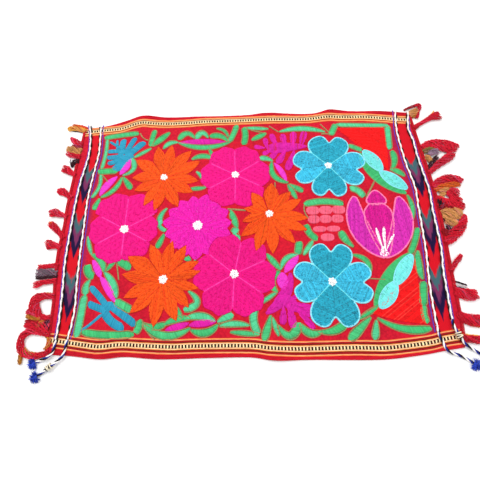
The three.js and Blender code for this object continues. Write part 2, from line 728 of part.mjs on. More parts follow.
const placemat = new THREE.Group();

function addPiece(name, geometry, colour, roughness = 0.85) {
  const mesh = new THREE.Mesh(geometry, material(colour, roughness));
  mesh.name = name;
  placemat.add(mesh);
}

addPiece('ground_cloth', groundCloth(), COLOURS.ground);
addPiece('fringe_left', fringe(LEFT_TASSELS, EDGES.left, -1), COLOURS.fringe);
addPiece('fringe_right', fringe(RIGHT_TASSELS, EDGES.right, 1), COLOURS.fringe);
for (const [name, rows] of Object.entries(COUCHED_CORDS)) {
  addPiece(`couched_cord_${name}`, couchedCord(rows), COLOURS.cord);
}
for (const name of Object.keys(CORD_TAILS)) {
  const points = tailPoints(name);
  addPiece(`cord_tail_${name}`, cordAlong(points, points.length - 1), COLOURS.cord);
  addPiece(`end_tuft_${name}`, endTuft(name), COLOURS.tuft, 0.9);
}
for (const knot of KNOTS) {
  addPiece(`knot_${knot.cord}`, cordKnot(knot), COLOURS.knot);
}

export default placemat;
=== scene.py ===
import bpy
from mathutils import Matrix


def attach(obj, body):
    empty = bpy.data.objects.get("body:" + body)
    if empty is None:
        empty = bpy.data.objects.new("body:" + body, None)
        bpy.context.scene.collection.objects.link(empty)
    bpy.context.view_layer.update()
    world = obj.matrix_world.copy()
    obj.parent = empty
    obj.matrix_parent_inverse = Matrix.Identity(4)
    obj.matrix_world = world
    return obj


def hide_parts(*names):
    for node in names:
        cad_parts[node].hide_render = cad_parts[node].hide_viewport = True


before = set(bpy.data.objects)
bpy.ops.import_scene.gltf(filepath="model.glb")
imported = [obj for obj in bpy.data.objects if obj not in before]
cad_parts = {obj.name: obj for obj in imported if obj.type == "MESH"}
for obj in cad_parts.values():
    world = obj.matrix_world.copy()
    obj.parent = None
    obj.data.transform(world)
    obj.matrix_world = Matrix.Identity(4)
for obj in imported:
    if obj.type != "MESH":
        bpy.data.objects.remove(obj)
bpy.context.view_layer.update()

import logging
import math
from collections.abc import Callable
from dataclasses import dataclass, field
from enum import Enum

import bpy
import numpy as np
from bpy.types import Material, Node, NodeSocket, NodeTree, Object
from mathutils import Matrix

log = logging.getLogger("placemat")

# Lengths below are in millimetres, and MM turns them into Blender's metres.
MM = 0.001
BODY = "root"
UP = np.array([0.0, 0.0, 1.0])

# The cloth
CLOTH_THICK = 1.6
CLOTH_COLUMNS = 168
CLOTH_ROWS = 84
FLOOR_DROP = 0.15

# Its length and depth, near enough to turn shares into millimetres, and how its rim thins out
CLOTH_LENGTH = 415.0
CLOTH_DEPTH = 290.0
RIM_THINNING = 0.35
RIM_REACH = 0.8

# Its four edges: a row for each bend, from left to right or from near to far
FAR_EDGE = [
    (-206, 141.5), (-181, 143.5), (-150, 152), (-130, 157.5), (-100, 154.3), (-60, 153),
    (0, 152.6), (30, 154.2), (85, 150.3), (108, 154.8), (132, 152), (175, 150.3), (206.5, 145.5),
]
NEAR_EDGE = [
    (-205, -136.5), (-180, -138.3), (-150, -141.7), (-125, -140), (-90, -142.8), (-40, -142.3),
    (0, -142.5), (25, -146), (60, -145.7), (125, -146.7), (165, -143.3), (190, -139.3), (207.5, -137),
]
LEFT_EDGE = [
    (-205, -136.5), (-206.2, -108), (-207.6, -80), (-210.4, -56), (-212, -26), (-210.6, 4),
    (-211.2, 30), (-209.8, 62), (-209, 88), (-207, 118), (-206, 141.5),
]
RIGHT_EDGE = [
    (207.5, -137), (209.8, -108), (211.2, -72), (212.6, -40), (214.2, -8), (214.6, 28),
    (213, 60), (210.6, 88), (208.4, 114), (206.5, 145.5),
]

# Soft ripples where the long edges don't lie quite flat: x, side, half width, height
RIPPLES = [
    (-131, 1, 21, 2.2), (-62, 1, 24, 0.9), (31, 1, 20, 1.2), (109, 1, 19, 2.0),
    (-150, -1, 17, 1.4), (-30, -1, 18, 0.8), (26, -1, 14, 1.5),
]
RIPPLE_START = 116.0
RIPPLE_RUN = 34.0

# The middle line of the barred ladder in each selvedge
FAR_LADDER = [
    (-208, 135), (-195, 136), (-175, 137.5), (-160, 138.6), (-150, 141.5), (-140, 144.5), (-130, 146),
    (-120, 144.8), (-100, 143.5), (-70, 143.3), (-50, 144.3), (0, 144), (50, 143), (80, 142),
    (105, 143.5), (120, 142.4), (145, 142), (160, 140.5), (175, 138.3), (190, 136), (210, 134),
]
NEAR_LADDER = [
    (-208, -122.5), (-200, -123), (-180, -126), (-160, -129), (-150, -129.6), (-130, -128.2), (-110, -129.5),
    (-80, -131.2), (-50, -130.9), (0, -131.6), (20, -134), (50, -135.4), (100, -135.2), (130, -136),
    (150, -134.6), (170, -132.6), (180, -131), (190, -128.7), (210, -126),
]

# Couched cords: where each lies across the mat as it runs from near to far
COUCHED_CORDS = {
    "left_outer": [
        (-197.6, -122), (-197.5, -100), (-199.3, -70), (-201.8, -40), (-202, -10), (-201.5, 30),
        (-200, 60), (-197.3, 80), (-195.1, 100), (-196, 120), (-198, 134), (-200.5, 146),
    ],
    "left_inner": [
        (-185.4, -122), (-183.6, -108), (-182.8, -90), (-185, -60), (-186.3, -30), (-186.9, 0),
        (-187.6, 36), (-186, 62), (-184.5, 80), (-182.6, 100), (-183.5, 120), (-185.6, 145),
    ],
    "right_inner": [
        (184.3, -122), (184.7, -100), (186.2, -72), (189.6, -40), (191, -14), (192.2, 14),
        (193.4, 36), (191.4, 54), (189, 70), (187.2, 95), (186.6, 120), (190, 149.5),
    ],
    "right_outer": [
        (200.4, -110), (201.5, -88), (203, -60), (206, -38), (206.8, -12), (207, 10),
        (208.3, 34), (206.6, 54), (204.2, 80), (203.4, 104), (201, 121), (205.5, 146),
    ],
}
CORD_SEAT = 3.2

# Free cord ends at the near edge, from the last couching stitch to the tuft
CORD_TAILS = {
    "left_outer": [
        (-197.6, -122.3, 3.2), (-197.6, -125, 3.2), (-197.7, -127.7, 3.2), (-197.9, -130.4, 3.2),
        (-198.4, -133, 3.2), (-199.5, -135.5, 3.2), (-201.3, -137.6, 3.2), (-203.6, -139.1, 3.2),
        (-206, -140.2, 2.8), (-208.5, -141.1, 2.1), (-210.9, -142, 1.5), (-213.3, -142.9, 1.32),
        (-215.2, -143.6, 1.32),
    ],
    "left_inner": [
        (-185.4, -122.3, 3.2), (-185.7, -125.3, 3.2), (-186.1, -128.3, 3.2), (-186.4, -131.3, 3.2),
        (-186.7, -134.3, 3.2), (-187.5, -137.2, 3.2), (-189.2, -139.8, 3.2), (-191.5, -142, 3),
        (-193.9, -144, 2.9), (-196.4, -146, 3.3), (-199, -147.9, 3.7), (-201.6, -149.8, 3.5),
        (-204.2, -151.6, 2.7), (-206.7, -153.3, 1.8), (-209.1, -154.9, 1.35), (-211, -156.1, 1.32),
    ],
    "right_inner": [
        (184.3, -122.3, 3.2), (184.9, -125.3, 3.2), (185.8, -128.3, 3.2), (186.6, -131.2, 3.2),
        (187.3, -134.2, 3.2), (188.3, -137.1, 3.2), (190.1, -139.6, 3.2), (192.7, -141.4, 3.2),
        (195.7, -142.4, 2.8), (198.8, -143.3, 2.1), (201.7, -144.5, 1.5), (204.5, -146, 1.32),
        (207.1, -147.7, 1.32), (209.6, -149.5, 1.32), (211.6, -151, 1.32),
    ],
    "right_outer": [
        (200.4, -110.3, 3.2), (200.2, -113.3, 3.2), (200.3, -116.3, 3.5), (200.8, -119.2, 4.3),
        (201.4, -122, 5.2), (202.2, -124.9, 5.65), (203.3, -127.7, 5.5), (204.7, -130.3, 4.7),
        (206.5, -132.7, 3.8), (208.8, -134.9, 3.3), (211.3, -136.8, 3.2), (213.8, -138.6, 2.7),
        (216.3, -140.3, 1.9), (218.9, -141.9, 1.4), (221.6, -143.3, 1.32), (223.6, -144.3, 1.32),
    ],
}
KNOT_AT = {"left_inner": 10, "right_outer": 5}

# Threads of the embroidery, and the sections of a stitch and of a selvedge thread: sideways and upward
PITCH = 0.8
STITCH_LENGTH = 7.5
BED = 0.15
STITCH_SECTION = np.array([(-0.5, 0.0), (0.5, 0.0), (0.3, 1.0), (-0.3, 1.0)])
THREAD_SECTION = np.array([(-0.5, 0.0), (0.5, 0.0), (0.28, 1.0), (-0.28, 1.0)])

# The turn, in radians, that spreads many small things evenly round a middle
EVEN_TURN = 2.39996


def linear(code: str) -> np.ndarray:
    """Turns a colour code such as F81894 into linear light.

    Args:
        code: Six hexadecimal digits, red, green and blue.

    Returns:
        Three numbers from 0 to 1.
    """
    share = np.array([int(code[i:i + 2], 16) / 255 for i in (0, 2, 4)])
    return np.where(share <= 0.04045, share / 12.92, ((share + 0.055) / 1.055) ** 2.4)


class Yarn(Enum):
    """The dyed yarns of the mat, with one paler turquoise that is a painted sheen."""

    CRIMSON = "D41428"
    EDGE_RED = "C80C26"
    DEEP_RED = "B01018"
    SCARLET = "F01014"
    SCARLET_PALE = "FF3C34"
    PINK = "EC0E88"
    PINK_SEAM = "FF40AC"
    MAGENTA = "EC1CB2"
    MAGENTA_DEEP = "E818A8"
    MAGENTA_PALE = "F45CC8"
    ORANGE = "F45A14"
    ORANGE_DEEP = "EC4A14"
    ORANGE_DARK = "C83410"
    TURQUOISE = "2CACC6"
    # Paler turquoise for the hearts' side petals: painted sheen from stitches that run another way to the
    # light
    TURQUOISE_SHEEN = "40C0E0"
    TEAL_DARK = "1C6480"
    PALE_CYAN = "90E6F6"
    CYAN = "70E4F0"
    AQUA = "7CE6E4"
    TULIP = "D41490"
    TULIP_LIGHT = "D42CB0"
    TULIP_DARK = "8C0C70"
    ROSE = "FF7CB0"
    SALMON = "F46884"
    WHITE = "FFFFFF"
    GREEN = "4CC07C"
    MINT = "58CC94"
    GREEN_DEEP = "44BC74"
    GREEN_DARK = "2C7848"
    TAN = "9A8A5A"
    BLUE = "2C9CBC"
    BLUE_DEEP = "268CB0"
    LILAC = "EC3CCC"
    FAN = "DA1CA4"
    RED_STREAK = "D81C5C"
    VIOLET = "6040B4"
    STRIPE = "F48A44"
    STRIPE_PALE = "FCB078"
    MAROON = "641410"
    CREAM = "FBE2AC"
    BLACK = "1C1210"
    KNOT_CREAM = "F4E8CC"
    NAVY = "1C2C90"
    TASSEL_RED = "DC1430"
    TASSEL_DEEP = "A00818"
    TASSEL_GOLD = "F0B048"
    TASSEL_ORANGE = "EC6A24"
    TASSEL_OCHRE = "C88028"
    TASSEL_TAN = "DC9A5A"
    TASSEL_DARK = "3C1C24"
    TASSEL_BLACK = "180C10"
    TASSEL_GREY = "746470"
    TASSEL_OLIVE = "8C7A44"
    TASSEL_MAUVE = "A08098"
    TASSEL_WHITE = "F0E4E4"
    IVORY = "FFFAF6"

    @property
    def rgb(self) -> np.ndarray:
        """The colour in linear light."""
        return linear(self.value)


def smooth_line(rows: np.ndarray | list[tuple[float, ...]], per_span: int = 16) -> np.ndarray:
    """Runs a smooth line through given points.

    Args:
        rows: The points, each with two or three coordinates.
        per_span: How many steps each span is cut into.

    Returns:
        The points of the line, closely spaced.
    """
    points = np.array(rows, float)
    before = np.vstack([points[:1], points[:-1]])[:-1]
    after = np.vstack([points[1:], points[-1:]])[1:]
    start, end = points[:-1], points[1:]
    leave, arrive = (end - before) / 2, (after - start) / 2
    t = np.linspace(0, 1, per_span, endpoint=False)[None, :, None]
    start, end, leave, arrive = (part[:, None, :] for part in (start, end, leave, arrive))
    cubed = 2 * start - 2 * end + leave + arrive
    squared = -3 * start + 3 * end - 2 * leave - arrive
    line = cubed * t ** 3 + squared * t ** 2 + leave * t + start
    return np.vstack([line.reshape(-1, points.shape[1]), points[-1:]])


def lengths_along(line: np.ndarray) -> np.ndarray:
    """Length from the start of a line to each of its points."""
    return np.concatenate([[0.0], np.cumsum(np.linalg.norm(np.diff(line, axis=0), axis=1))])


def at_lengths(line: np.ndarray, lengths: np.ndarray) -> np.ndarray:
    """Points of a line at the given lengths from its start."""
    along = lengths_along(line)
    return np.stack([np.interp(lengths, along, axis) for axis in line.T], axis=-1)


def at_shares(line: np.ndarray, shares: np.ndarray) -> np.ndarray:
    """Points of a line at the given shares of its length."""
    return at_lengths(line, np.asarray(shares) * lengths_along(line)[-1])


def directions(line: np.ndarray) -> tuple[np.ndarray, np.ndarray]:
    """Finds the way ahead and the way to the left at each point of a flat line.

    Args:
        line: An x and y for each point.

    Returns:
        Two lists of unit steps.
    """
    run = np.gradient(line, axis=0)
    run /= np.linalg.norm(run, axis=1, keepdims=True)
    return run, np.column_stack([-run[:, 1], run[:, 0]])


def turned_axes(degrees: float) -> np.ndarray:
    """The two unit axes of a frame turned anticlockwise, a row each."""
    angle = math.radians(degrees)
    return np.array([[math.cos(angle), math.sin(angle)], [-math.sin(angle), math.cos(angle)]])


@dataclass
class ClothShape:
    """The lie of the cloth: its uneven outline and the ripples of its long edges."""

    far: np.ndarray = field(default_factory=lambda: smooth_line(FAR_EDGE))
    near: np.ndarray = field(default_factory=lambda: smooth_line(NEAR_EDGE))
    left: np.ndarray = field(default_factory=lambda: smooth_line(LEFT_EDGE))
    right: np.ndarray = field(default_factory=lambda: smooth_line(RIGHT_EDGE))

    def point(self, u: np.ndarray, v: np.ndarray) -> np.ndarray:
        """Finds places on the cloth.

        Args:
            u: Share of the way from left to right.
            v: Share of the way from near to far.

        Returns:
            An x and y for each place.
        """
        near, far = at_shares(self.near, u), at_shares(self.far, u)
        left, right = at_shares(self.left, v), at_shares(self.right, v)
        u, v = u[..., None], v[..., None]
        blend = near * (1 - v) + far * v + left * (1 - u) + right * u
        ends = self.near[0] * (1 - u) * (1 - v) + self.near[-1] * u * (1 - v)
        return blend - ends - self.far[0] * (1 - u) * v - self.far[-1] * u * v

    @staticmethod
    def lift(x: np.ndarray, y: np.ndarray) -> np.ndarray:
        """How far the cloth stands off the surface at each place.

        Args:
            x: Places from left to right.
            y: Places from near to far.

        Returns:
            A height for each place, in millimetres.
        """
        total = np.zeros(np.broadcast(x, y).shape)
        for middle, side, half_width, height in RIPPLES:
            reach = np.clip((side * y - RIPPLE_START) / RIPPLE_RUN, 0, 1)
            total += height * np.exp(-(((x - middle) / half_width) ** 2)) * reach ** 2
        return total

    @staticmethod
    def along_x(line: np.ndarray, x: np.ndarray) -> np.ndarray:
        """The y of a line that runs across the mat, at each x."""
        return np.interp(x, line[:, 0], line[:, 1])

    @staticmethod
    def along_y(line: np.ndarray, y: np.ndarray) -> np.ndarray:
        """The x of a line that runs up the mat, at each y."""
        return np.interp(y, line[:, 1], line[:, 0])


CLOTH = ClothShape()


@dataclass
class Tubes:
    """Small closed tubes gathered into one joined mesh.

    Each lot has rings of the same size: one row for each tube, station and corner.
    """

    vertices: list[np.ndarray] = field(default_factory=list)
    colours: list[np.ndarray] = field(default_factory=list)
    loops: list[np.ndarray] = field(default_factory=list)
    sizes: list[np.ndarray] = field(default_factory=list)
    uvs: list[np.ndarray] = field(default_factory=list)
    total: int = 0

    def add(self, rings: np.ndarray, colours: np.ndarray) -> None:
        """Adds tubes that all have the same number of stations and corners.

        Args:
            rings: Corner points in millimetres, as tubes by stations by corners by 3.
            colours: One colour for each tube, or for each station of each tube.
        """
        count, stations, corners, _ = rings.shape
        start = self.total + np.arange(count)[:, None, None] * stations * corners
        station = np.arange(stations - 1)[None, :, None] * corners
        corner = np.arange(corners)[None, None, :]
        a = start + station + corner
        b = start + station + (corner + 1) % corners
        sides = np.stack([a, b, b + corners, a + corners], axis=-1).reshape(-1, 4)
        first = start[:, 0, :] + np.arange(corners)[::-1][None, :]
        last = start[:, 0, :] + (stations - 1) * corners + np.arange(corners)[None, :]
        step = np.linalg.norm(np.diff(rings.mean(axis=2), axis=1), axis=-1)
        along = np.concatenate([np.zeros((count, 1)), np.cumsum(step, axis=1)], axis=1)
        u0 = np.broadcast_to(along[:, :-1, None], a.shape)
        u1 = np.broadcast_to(along[:, 1:, None], a.shape)
        v0 = np.broadcast_to(corner / corners, a.shape)
        v1 = v0 + 1 / corners
        side_uv = np.stack([u0, v0, u0, v1, u1, v1, u1, v0], axis=-1).reshape(-1, 2)
        self.vertices.append(rings.reshape(-1, 3))
        if colours.ndim == 2:
            colours = np.broadcast_to(colours[:, None, :], (count, stations, 3))
        self.colours.append(np.repeat(colours.reshape(-1, 3), corners, axis=0))
        self.loops += [sides.reshape(-1), first.reshape(-1), last.reshape(-1)]
        self.sizes += [np.full(len(sides), 4), np.full(2 * count, corners)]
        self.uvs += [side_uv, np.zeros((2 * count * corners, 2))]
        self.total += count * stations * corners

    def build(self, name: str, material: Material) -> Object:
        """Makes the joined mesh.

        Args:
            name: The piece's name.
            material: Its finish.

        Returns:
            The new object, at the origin.
        """
        return mesh_object(
            name, np.concatenate(self.vertices), np.concatenate(self.loops), np.concatenate(self.sizes),
            material, np.concatenate(self.colours), np.concatenate(self.uvs),
        )


def mesh_object(
    name: str, vertices: np.ndarray, loops: np.ndarray, sizes: np.ndarray,
    material: Material, colours: np.ndarray | None = None, uvs: np.ndarray | None = None,
) -> Object:
    """Makes a smooth-shaded mesh object from arrays.

    Args:
        name: The piece's name.
        vertices: Points in millimetres.
        loops: The corners of all faces, face after face.
        sizes: How many corners each face has.
        material: The piece's finish.
        colours: A yarn colour for each point.
        uvs: A place along and around the yarn for each face corner.

    Returns:
        The new object, at the origin.
    """
    mesh = bpy.data.meshes.new(name)
    mesh.vertices.add(len(vertices))
    mesh.vertices.foreach_set("co", (vertices * MM).astype(np.float32).ravel())
    mesh.loops.add(len(loops))
    mesh.loops.foreach_set("vertex_index", loops.astype(np.int32))
    mesh.polygons.add(len(sizes))
    starts = np.concatenate([[0], np.cumsum(sizes)[:-1]])
    mesh.polygons.foreach_set("loop_start", starts.astype(np.int32))
    mesh.polygons.foreach_set("use_smooth", np.ones(len(sizes), bool))
    if uvs is not None:
        layer = mesh.uv_layers.new(name="YarnUV")
        layer.data.foreach_set("uv", uvs.astype(np.float32).ravel())
    if colours is not None:
        layer = mesh.color_attributes.new(name="yarn_colour", type="FLOAT_COLOR", domain="POINT")
        solid = np.concatenate([colours, np.ones((len(colours), 1))], axis=1)
        layer.data.foreach_set("color", solid.astype(np.float32).ravel())
    mesh.update(calc_edges=True)
    mesh.materials.append(material)
    piece = bpy.data.objects.new(name, mesh)
    bpy.context.scene.collection.objects.link(piece)
    return piece


def place(piece: Object, slot: str, *nodes: str) -> Object:
    """Lets a piece ride on the mat, hides the solids it stands for, and logs them.

    Args:
        piece: The piece.
        slot: The name of its finish; not used.
        *nodes: The solids it stands for, if any.

    Returns:
        The same piece.
    """
    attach(piece, BODY)
    if nodes:
        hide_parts(*nodes)
    faces = len(piece.data.polygons)
    log.info("%s: %d faces, stands for %s", piece.name, faces, ", ".join(nodes) or "no solid of its own")
    return piece


def framed_rings(path: np.ndarray, profile: np.ndarray) -> np.ndarray:
    """Sweeps a profile along paths, keeping it as upright as it can be.

    Args:
        path: Centre lines, as tubes by stations by 3.
        profile: Corners as sideways and upward parts, broadcast to tubes by stations by corners by 2.

    Returns:
        Corner points, as tubes by stations by corners by 3.
    """
    tangent = np.gradient(path, axis=1)
    tangent /= np.linalg.norm(tangent, axis=-1, keepdims=True) + 1e-9
    side = np.cross(UP, tangent)
    flat = np.linalg.norm(side, axis=-1, keepdims=True)
    side = np.where(flat > 1e-6, side / np.maximum(flat, 1e-6), np.array([1.0, 0.0, 0.0]))
    above = np.cross(tangent, side)
    sideways, upward = profile[..., :1] * side[:, :, None, :], profile[..., 1:] * above[:, :, None, :]
    return path[:, :, None, :] + sideways + upward


def round_profile(radius: np.ndarray, corners: int) -> np.ndarray:
    """A round section of the given radius at each station of each tube.

    Args:
        radius: The radius at each station.
        corners: How many corners the section has.

    Returns:
        Corners as sideways and upward parts.
    """
    angle = 2 * np.pi * (np.arange(corners) + 0.5) / corners
    ring = np.stack([np.cos(angle), np.sin(angle)], axis=-1)
    return np.asarray(radius)[..., None, None] * ring


class NodeDesk:
    """Adds and joins shader nodes in one tree."""

    def __init__(self, tree: NodeTree) -> None:
        """Works in the given tree."""
        self.tree = tree

    def add(self, kind: str, **settings: object) -> Node:
        """Adds a node and sets its properties.

        Args:
            kind: The node's type.
            **settings: Its properties and their values.

        Returns:
            The new node.
        """
        node = self.tree.nodes.new(kind)
        for key, value in settings.items():
            setattr(node, key, value)
        return node

    def feed(self, socket: NodeSocket, value: object) -> None:
        """Joins an output to a socket, or sets the socket's own value.

        Args:
            socket: The socket to feed.
            value: An output to join, or a plain value.
        """
        if isinstance(value, NodeSocket):
            self.tree.links.new(value, socket)
        else:
            socket.default_value = value

    def sum(self, operation: str, *values: object, clamp: bool = False) -> NodeSocket:
        """Does one step of arithmetic and gives its result.

        Args:
            operation: The step's name.
            *values: Outputs or numbers that go in.
            clamp: Whether the result is kept from 0 to 1.

        Returns:
            The result's socket.
        """
        node = self.add("ShaderNodeMath", operation=operation, use_clamp=clamp)
        for socket, value in zip(node.inputs, values):
            self.feed(socket, value)
        return node.outputs[0]

    def mix(self, share: object, a: object, b: object, blend: str = "MIX") -> NodeSocket:
        """Mixes two colours by a share.

        Args:
            share: How much of the second colour there is.
            a: The first colour.
            b: The second colour.
            blend: The way they are mixed.

        Returns:
            The mixed colour's socket.
        """
        node = self.add("ShaderNodeMix", data_type="RGBA", blend_type=blend)
        self.feed(node.inputs["Factor"], share)
        self.feed(node.inputs["A"], a)
        self.feed(node.inputs["B"], b)
        return node.outputs["Result"]

    def value_of(self, name: str) -> NodeSocket:
        """Reads a number stored at each point of the piece."""
        return self.add("ShaderNodeAttribute", attribute_name=name).outputs["Fac"]

    def surface(
        self, colour: object, threads: Node, strength: float, relief: float, roughness: float,
        specular: float, sheen: float,
    ) -> None:
        """Darkens a colour by its threads' painted shade and gives it a surface with their relief.

        Args:
            colour: The colour before the threads shade it.
            threads: The group node that puts out the threads' height and shade.
            strength: The strength of the relief.
            relief: The depth of the relief, in millimetres.
            roughness: How rough the surface is.
            specular: How strongly it shines.
            sheen: How much its fibres glow at a low angle.
        """
        shade = self.add("ShaderNodeCombineColor")
        for channel in shade.inputs:
            self.feed(channel, threads.outputs["Shade"])
        bump = self.add("ShaderNodeBump")
        bump.inputs["Strength"].default_value = strength
        bump.inputs["Distance"].default_value = relief * MM
        self.feed(bump.inputs["Height"], threads.outputs["Height"])
        surface = self.add("ShaderNodeBsdfPrincipled")
        self.feed(surface.inputs["Base Color"], self.mix(1.0, colour, shade.outputs[0], "MULTIPLY"))
        self.feed(surface.inputs["Normal"], bump.outputs["Normal"])
        surface.inputs["Roughness"].default_value = roughness
        surface.inputs["Specular IOR Level"].default_value = specular
        surface.inputs["Sheen Weight"].default_value = sheen
        self.feed(self.add("ShaderNodeOutputMaterial").inputs["Surface"], surface.outputs[0])

    def noise(self, vector: object, scale: float, detail: float = 2.0) -> NodeSocket:
        """A soft random pattern from 0 to 1.

        Args:
            vector: Where it is read.
            scale: How fine it is.
            detail: How much finer detail it has.

        Returns:
            The pattern's socket.
        """
        node = self.add("ShaderNodeTexNoise")
        self.feed(node.inputs["Vector"], vector)
        node.inputs["Scale"].default_value = scale
        node.inputs["Detail"].default_value = detail
        return node.outputs["Fac"]


def new_material(name: str) -> tuple[Material, NodeDesk]:
    """Starts an empty material.

    Args:
        name: The material's name.

    Returns:
        The material, and a desk for its tree.
    """
    material = bpy.data.materials.new(name)
    material.use_nodes = True
    material.node_tree.nodes.clear()
    return material, NodeDesk(material.node_tree)


def new_group(name: str, inputs: dict[str, tuple[str, object]], outputs: dict[str, str]) -> NodeDesk:
    """Starts a shader node group with named sockets.

    Args:
        name: The group's name.
        inputs: Each input's socket type and first value.
        outputs: Each output's socket type.

    Returns:
        A desk for the group's tree.
    """
    tree = bpy.data.node_groups.new(name, "ShaderNodeTree")
    for title, (kind, value) in inputs.items():
        socket = tree.interface.new_socket(name=title, in_out="INPUT", socket_type=kind)
        if value is not None:
            socket.default_value = value
    for title, kind in outputs.items():
        tree.interface.new_socket(name=title, in_out="OUTPUT", socket_type=kind)
    return NodeDesk(tree)


def yarn_twist_group() -> NodeTree:
    """A group that gives a yarn its slanting plies and loose fibres, and a painted shade that darkens it
    where they lie low.

    Returns:
        The group's tree.
    """
    desk = new_group(
        "YarnTwist",
        {
            "Place": ("NodeSocketVector", None), "Pitch": ("NodeSocketFloat", 1.6),
            "Plies": ("NodeSocketFloat", 2.0),
        },
        {"Height": "NodeSocketFloat", "Shade": "NodeSocketFloat"},
    )
    given = desk.add("NodeGroupInput").outputs
    split = desk.add("ShaderNodeSeparateXYZ")
    desk.feed(split.inputs[0], given["Place"])
    along = desk.sum("DIVIDE", split.outputs["X"], given["Pitch"])
    around = desk.sum("MULTIPLY", split.outputs["Y"], given["Plies"])
    turn = desk.sum("MULTIPLY", desk.sum("ADD", along, around), 2 * math.pi)
    plies = desk.sum("MULTIPLY_ADD", desk.sum("SINE", turn), 0.5, 0.5)
    stretched = desk.add("ShaderNodeCombineXYZ")
    desk.feed(stretched.inputs["X"], desk.sum("MULTIPLY", split.outputs["X"], 0.5))
    desk.feed(stretched.inputs["Y"], desk.sum("MULTIPLY", split.outputs["Y"], 9.0))
    fibres = desk.noise(stretched.outputs[0], 1.7, 3.0)
    height = desk.sum("MULTIPLY_ADD", fibres, 0.45, desk.sum("MULTIPLY", plies, 0.55))
    shade = desk.sum("MULTIPLY_ADD", height, 0.36, 0.8)
    given_out = desk.add("NodeGroupOutput")
    desk.feed(given_out.inputs["Height"], height)
    desk.feed(given_out.inputs["Shade"], shade)
    return desk.tree


def plain_weave_group() -> NodeTree:
    """A group that gives a cloth its crossing threads, and a painted shade that darkens it where they lie
    low.

    Returns:
        The group's tree.
    """
    desk = new_group(
        "PlainWeave",
        {"Place": ("NodeSocketVector", None), "Pitch": ("NodeSocketFloat", 0.9)},
        {"Height": "NodeSocketFloat", "Shade": "NodeSocketFloat"},
    )
    given = desk.add("NodeGroupInput").outputs
    split = desk.add("ShaderNodeSeparateXYZ")
    desk.feed(split.inputs[0], given["Place"])
    waves = []
    for axis in ("X", "Y"):
        turns = desk.sum("DIVIDE", split.outputs[axis], given["Pitch"])
        waves.append(desk.sum("SINE", desk.sum("MULTIPLY", turns, 2 * math.pi)))
    crossing = desk.sum("MULTIPLY_ADD", desk.sum("MULTIPLY", waves[0], waves[1]), 0.5, 0.5)
    slub = desk.noise(given["Place"], 0.7, 4.0)
    height = desk.sum("MULTIPLY_ADD", slub, 0.4, desk.sum("MULTIPLY", crossing, 0.6))
    given_out = desk.add("NodeGroupOutput")
    desk.feed(given_out.inputs["Height"], height)
    desk.feed(given_out.inputs["Shade"], desk.sum("MULTIPLY_ADD", height, 0.5, 0.72))
    return desk.tree


def step_group() -> NodeTree:
    """A group that steps softly from 0 to 1 past an edge.

    Returns:
        The group's tree.
    """
    desk = new_group(
        "ColourStep",
        {
            "Place": ("NodeSocketFloat", 0.0), "Edge": ("NodeSocketFloat", 0.0),
            "Soft": ("NodeSocketFloat", 1.0),
        },
        {"Mask": "NodeSocketFloat"},
    )
    given = desk.add("NodeGroupInput").outputs
    gap = desk.sum("SUBTRACT", given["Place"], given["Edge"])
    share = desk.sum("MULTIPLY_ADD", desk.sum("DIVIDE", gap, given["Soft"]), 0.5, 0.5, clamp=True)
    desk.feed(desk.add("NodeGroupOutput").inputs["Mask"], share)
    return desk.tree


@dataclass(frozen=True)
class YarnFinish:
    """How a yarn takes light. Its colour is stored at each point of the piece."""

    name: str
    roughness: float = 0.62
    sheen: float = 0.04
    twist_pitch: float = 1.8
    plies: float = 2.0
    strength: float = 0.6
    relief: float = 0.12
    specular: float = 0.14

    def material(self, twist: NodeTree) -> Material:
        """Builds the material.

        Args:
            twist: The shared group for the yarn's plies.

        Returns:
            The new material.
        """
        material, desk = new_material(self.name)
        place_on = desk.add("ShaderNodeUVMap", uv_map="YarnUV")
        plies = desk.add("ShaderNodeGroup", node_tree=twist)
        desk.feed(plies.inputs["Place"], place_on.outputs["UV"])
        desk.feed(plies.inputs["Pitch"], self.twist_pitch)
        desk.feed(plies.inputs["Plies"], self.plies)
        dyed = desk.add("ShaderNodeAttribute", attribute_name="yarn_colour").outputs["Color"]
        desk.surface(dyed, plies, self.strength, self.relief, self.roughness, self.specular, self.sheen)
        return material


# The chevrons between each pair of cords. Each repeat starts with red and has four steps of colour: how
# far down the step's point is, how deep its V is, and the colour that follows
CHEVRON_RED = "CE0A1E"
CHEVRON_REPEAT = 67.5
CHEVRON_FIRST = 97.5
CHEVRON_LAST = -115.0
CHEVRON_STEPS = [
    (23.0, 17.0, "3A6068"), (37.0, 19.0, "742A56"), (50.5, 26.0, "100838"), (66.5, 26.0, CHEVRON_RED),
]
CHEVRON_SHIFT = {"left": 0.0, "right": 6.0}
GROUND_DARK, GROUND_LIGHT, PURPLE_DYE = "A40824", "DC1830", "7A1C58"


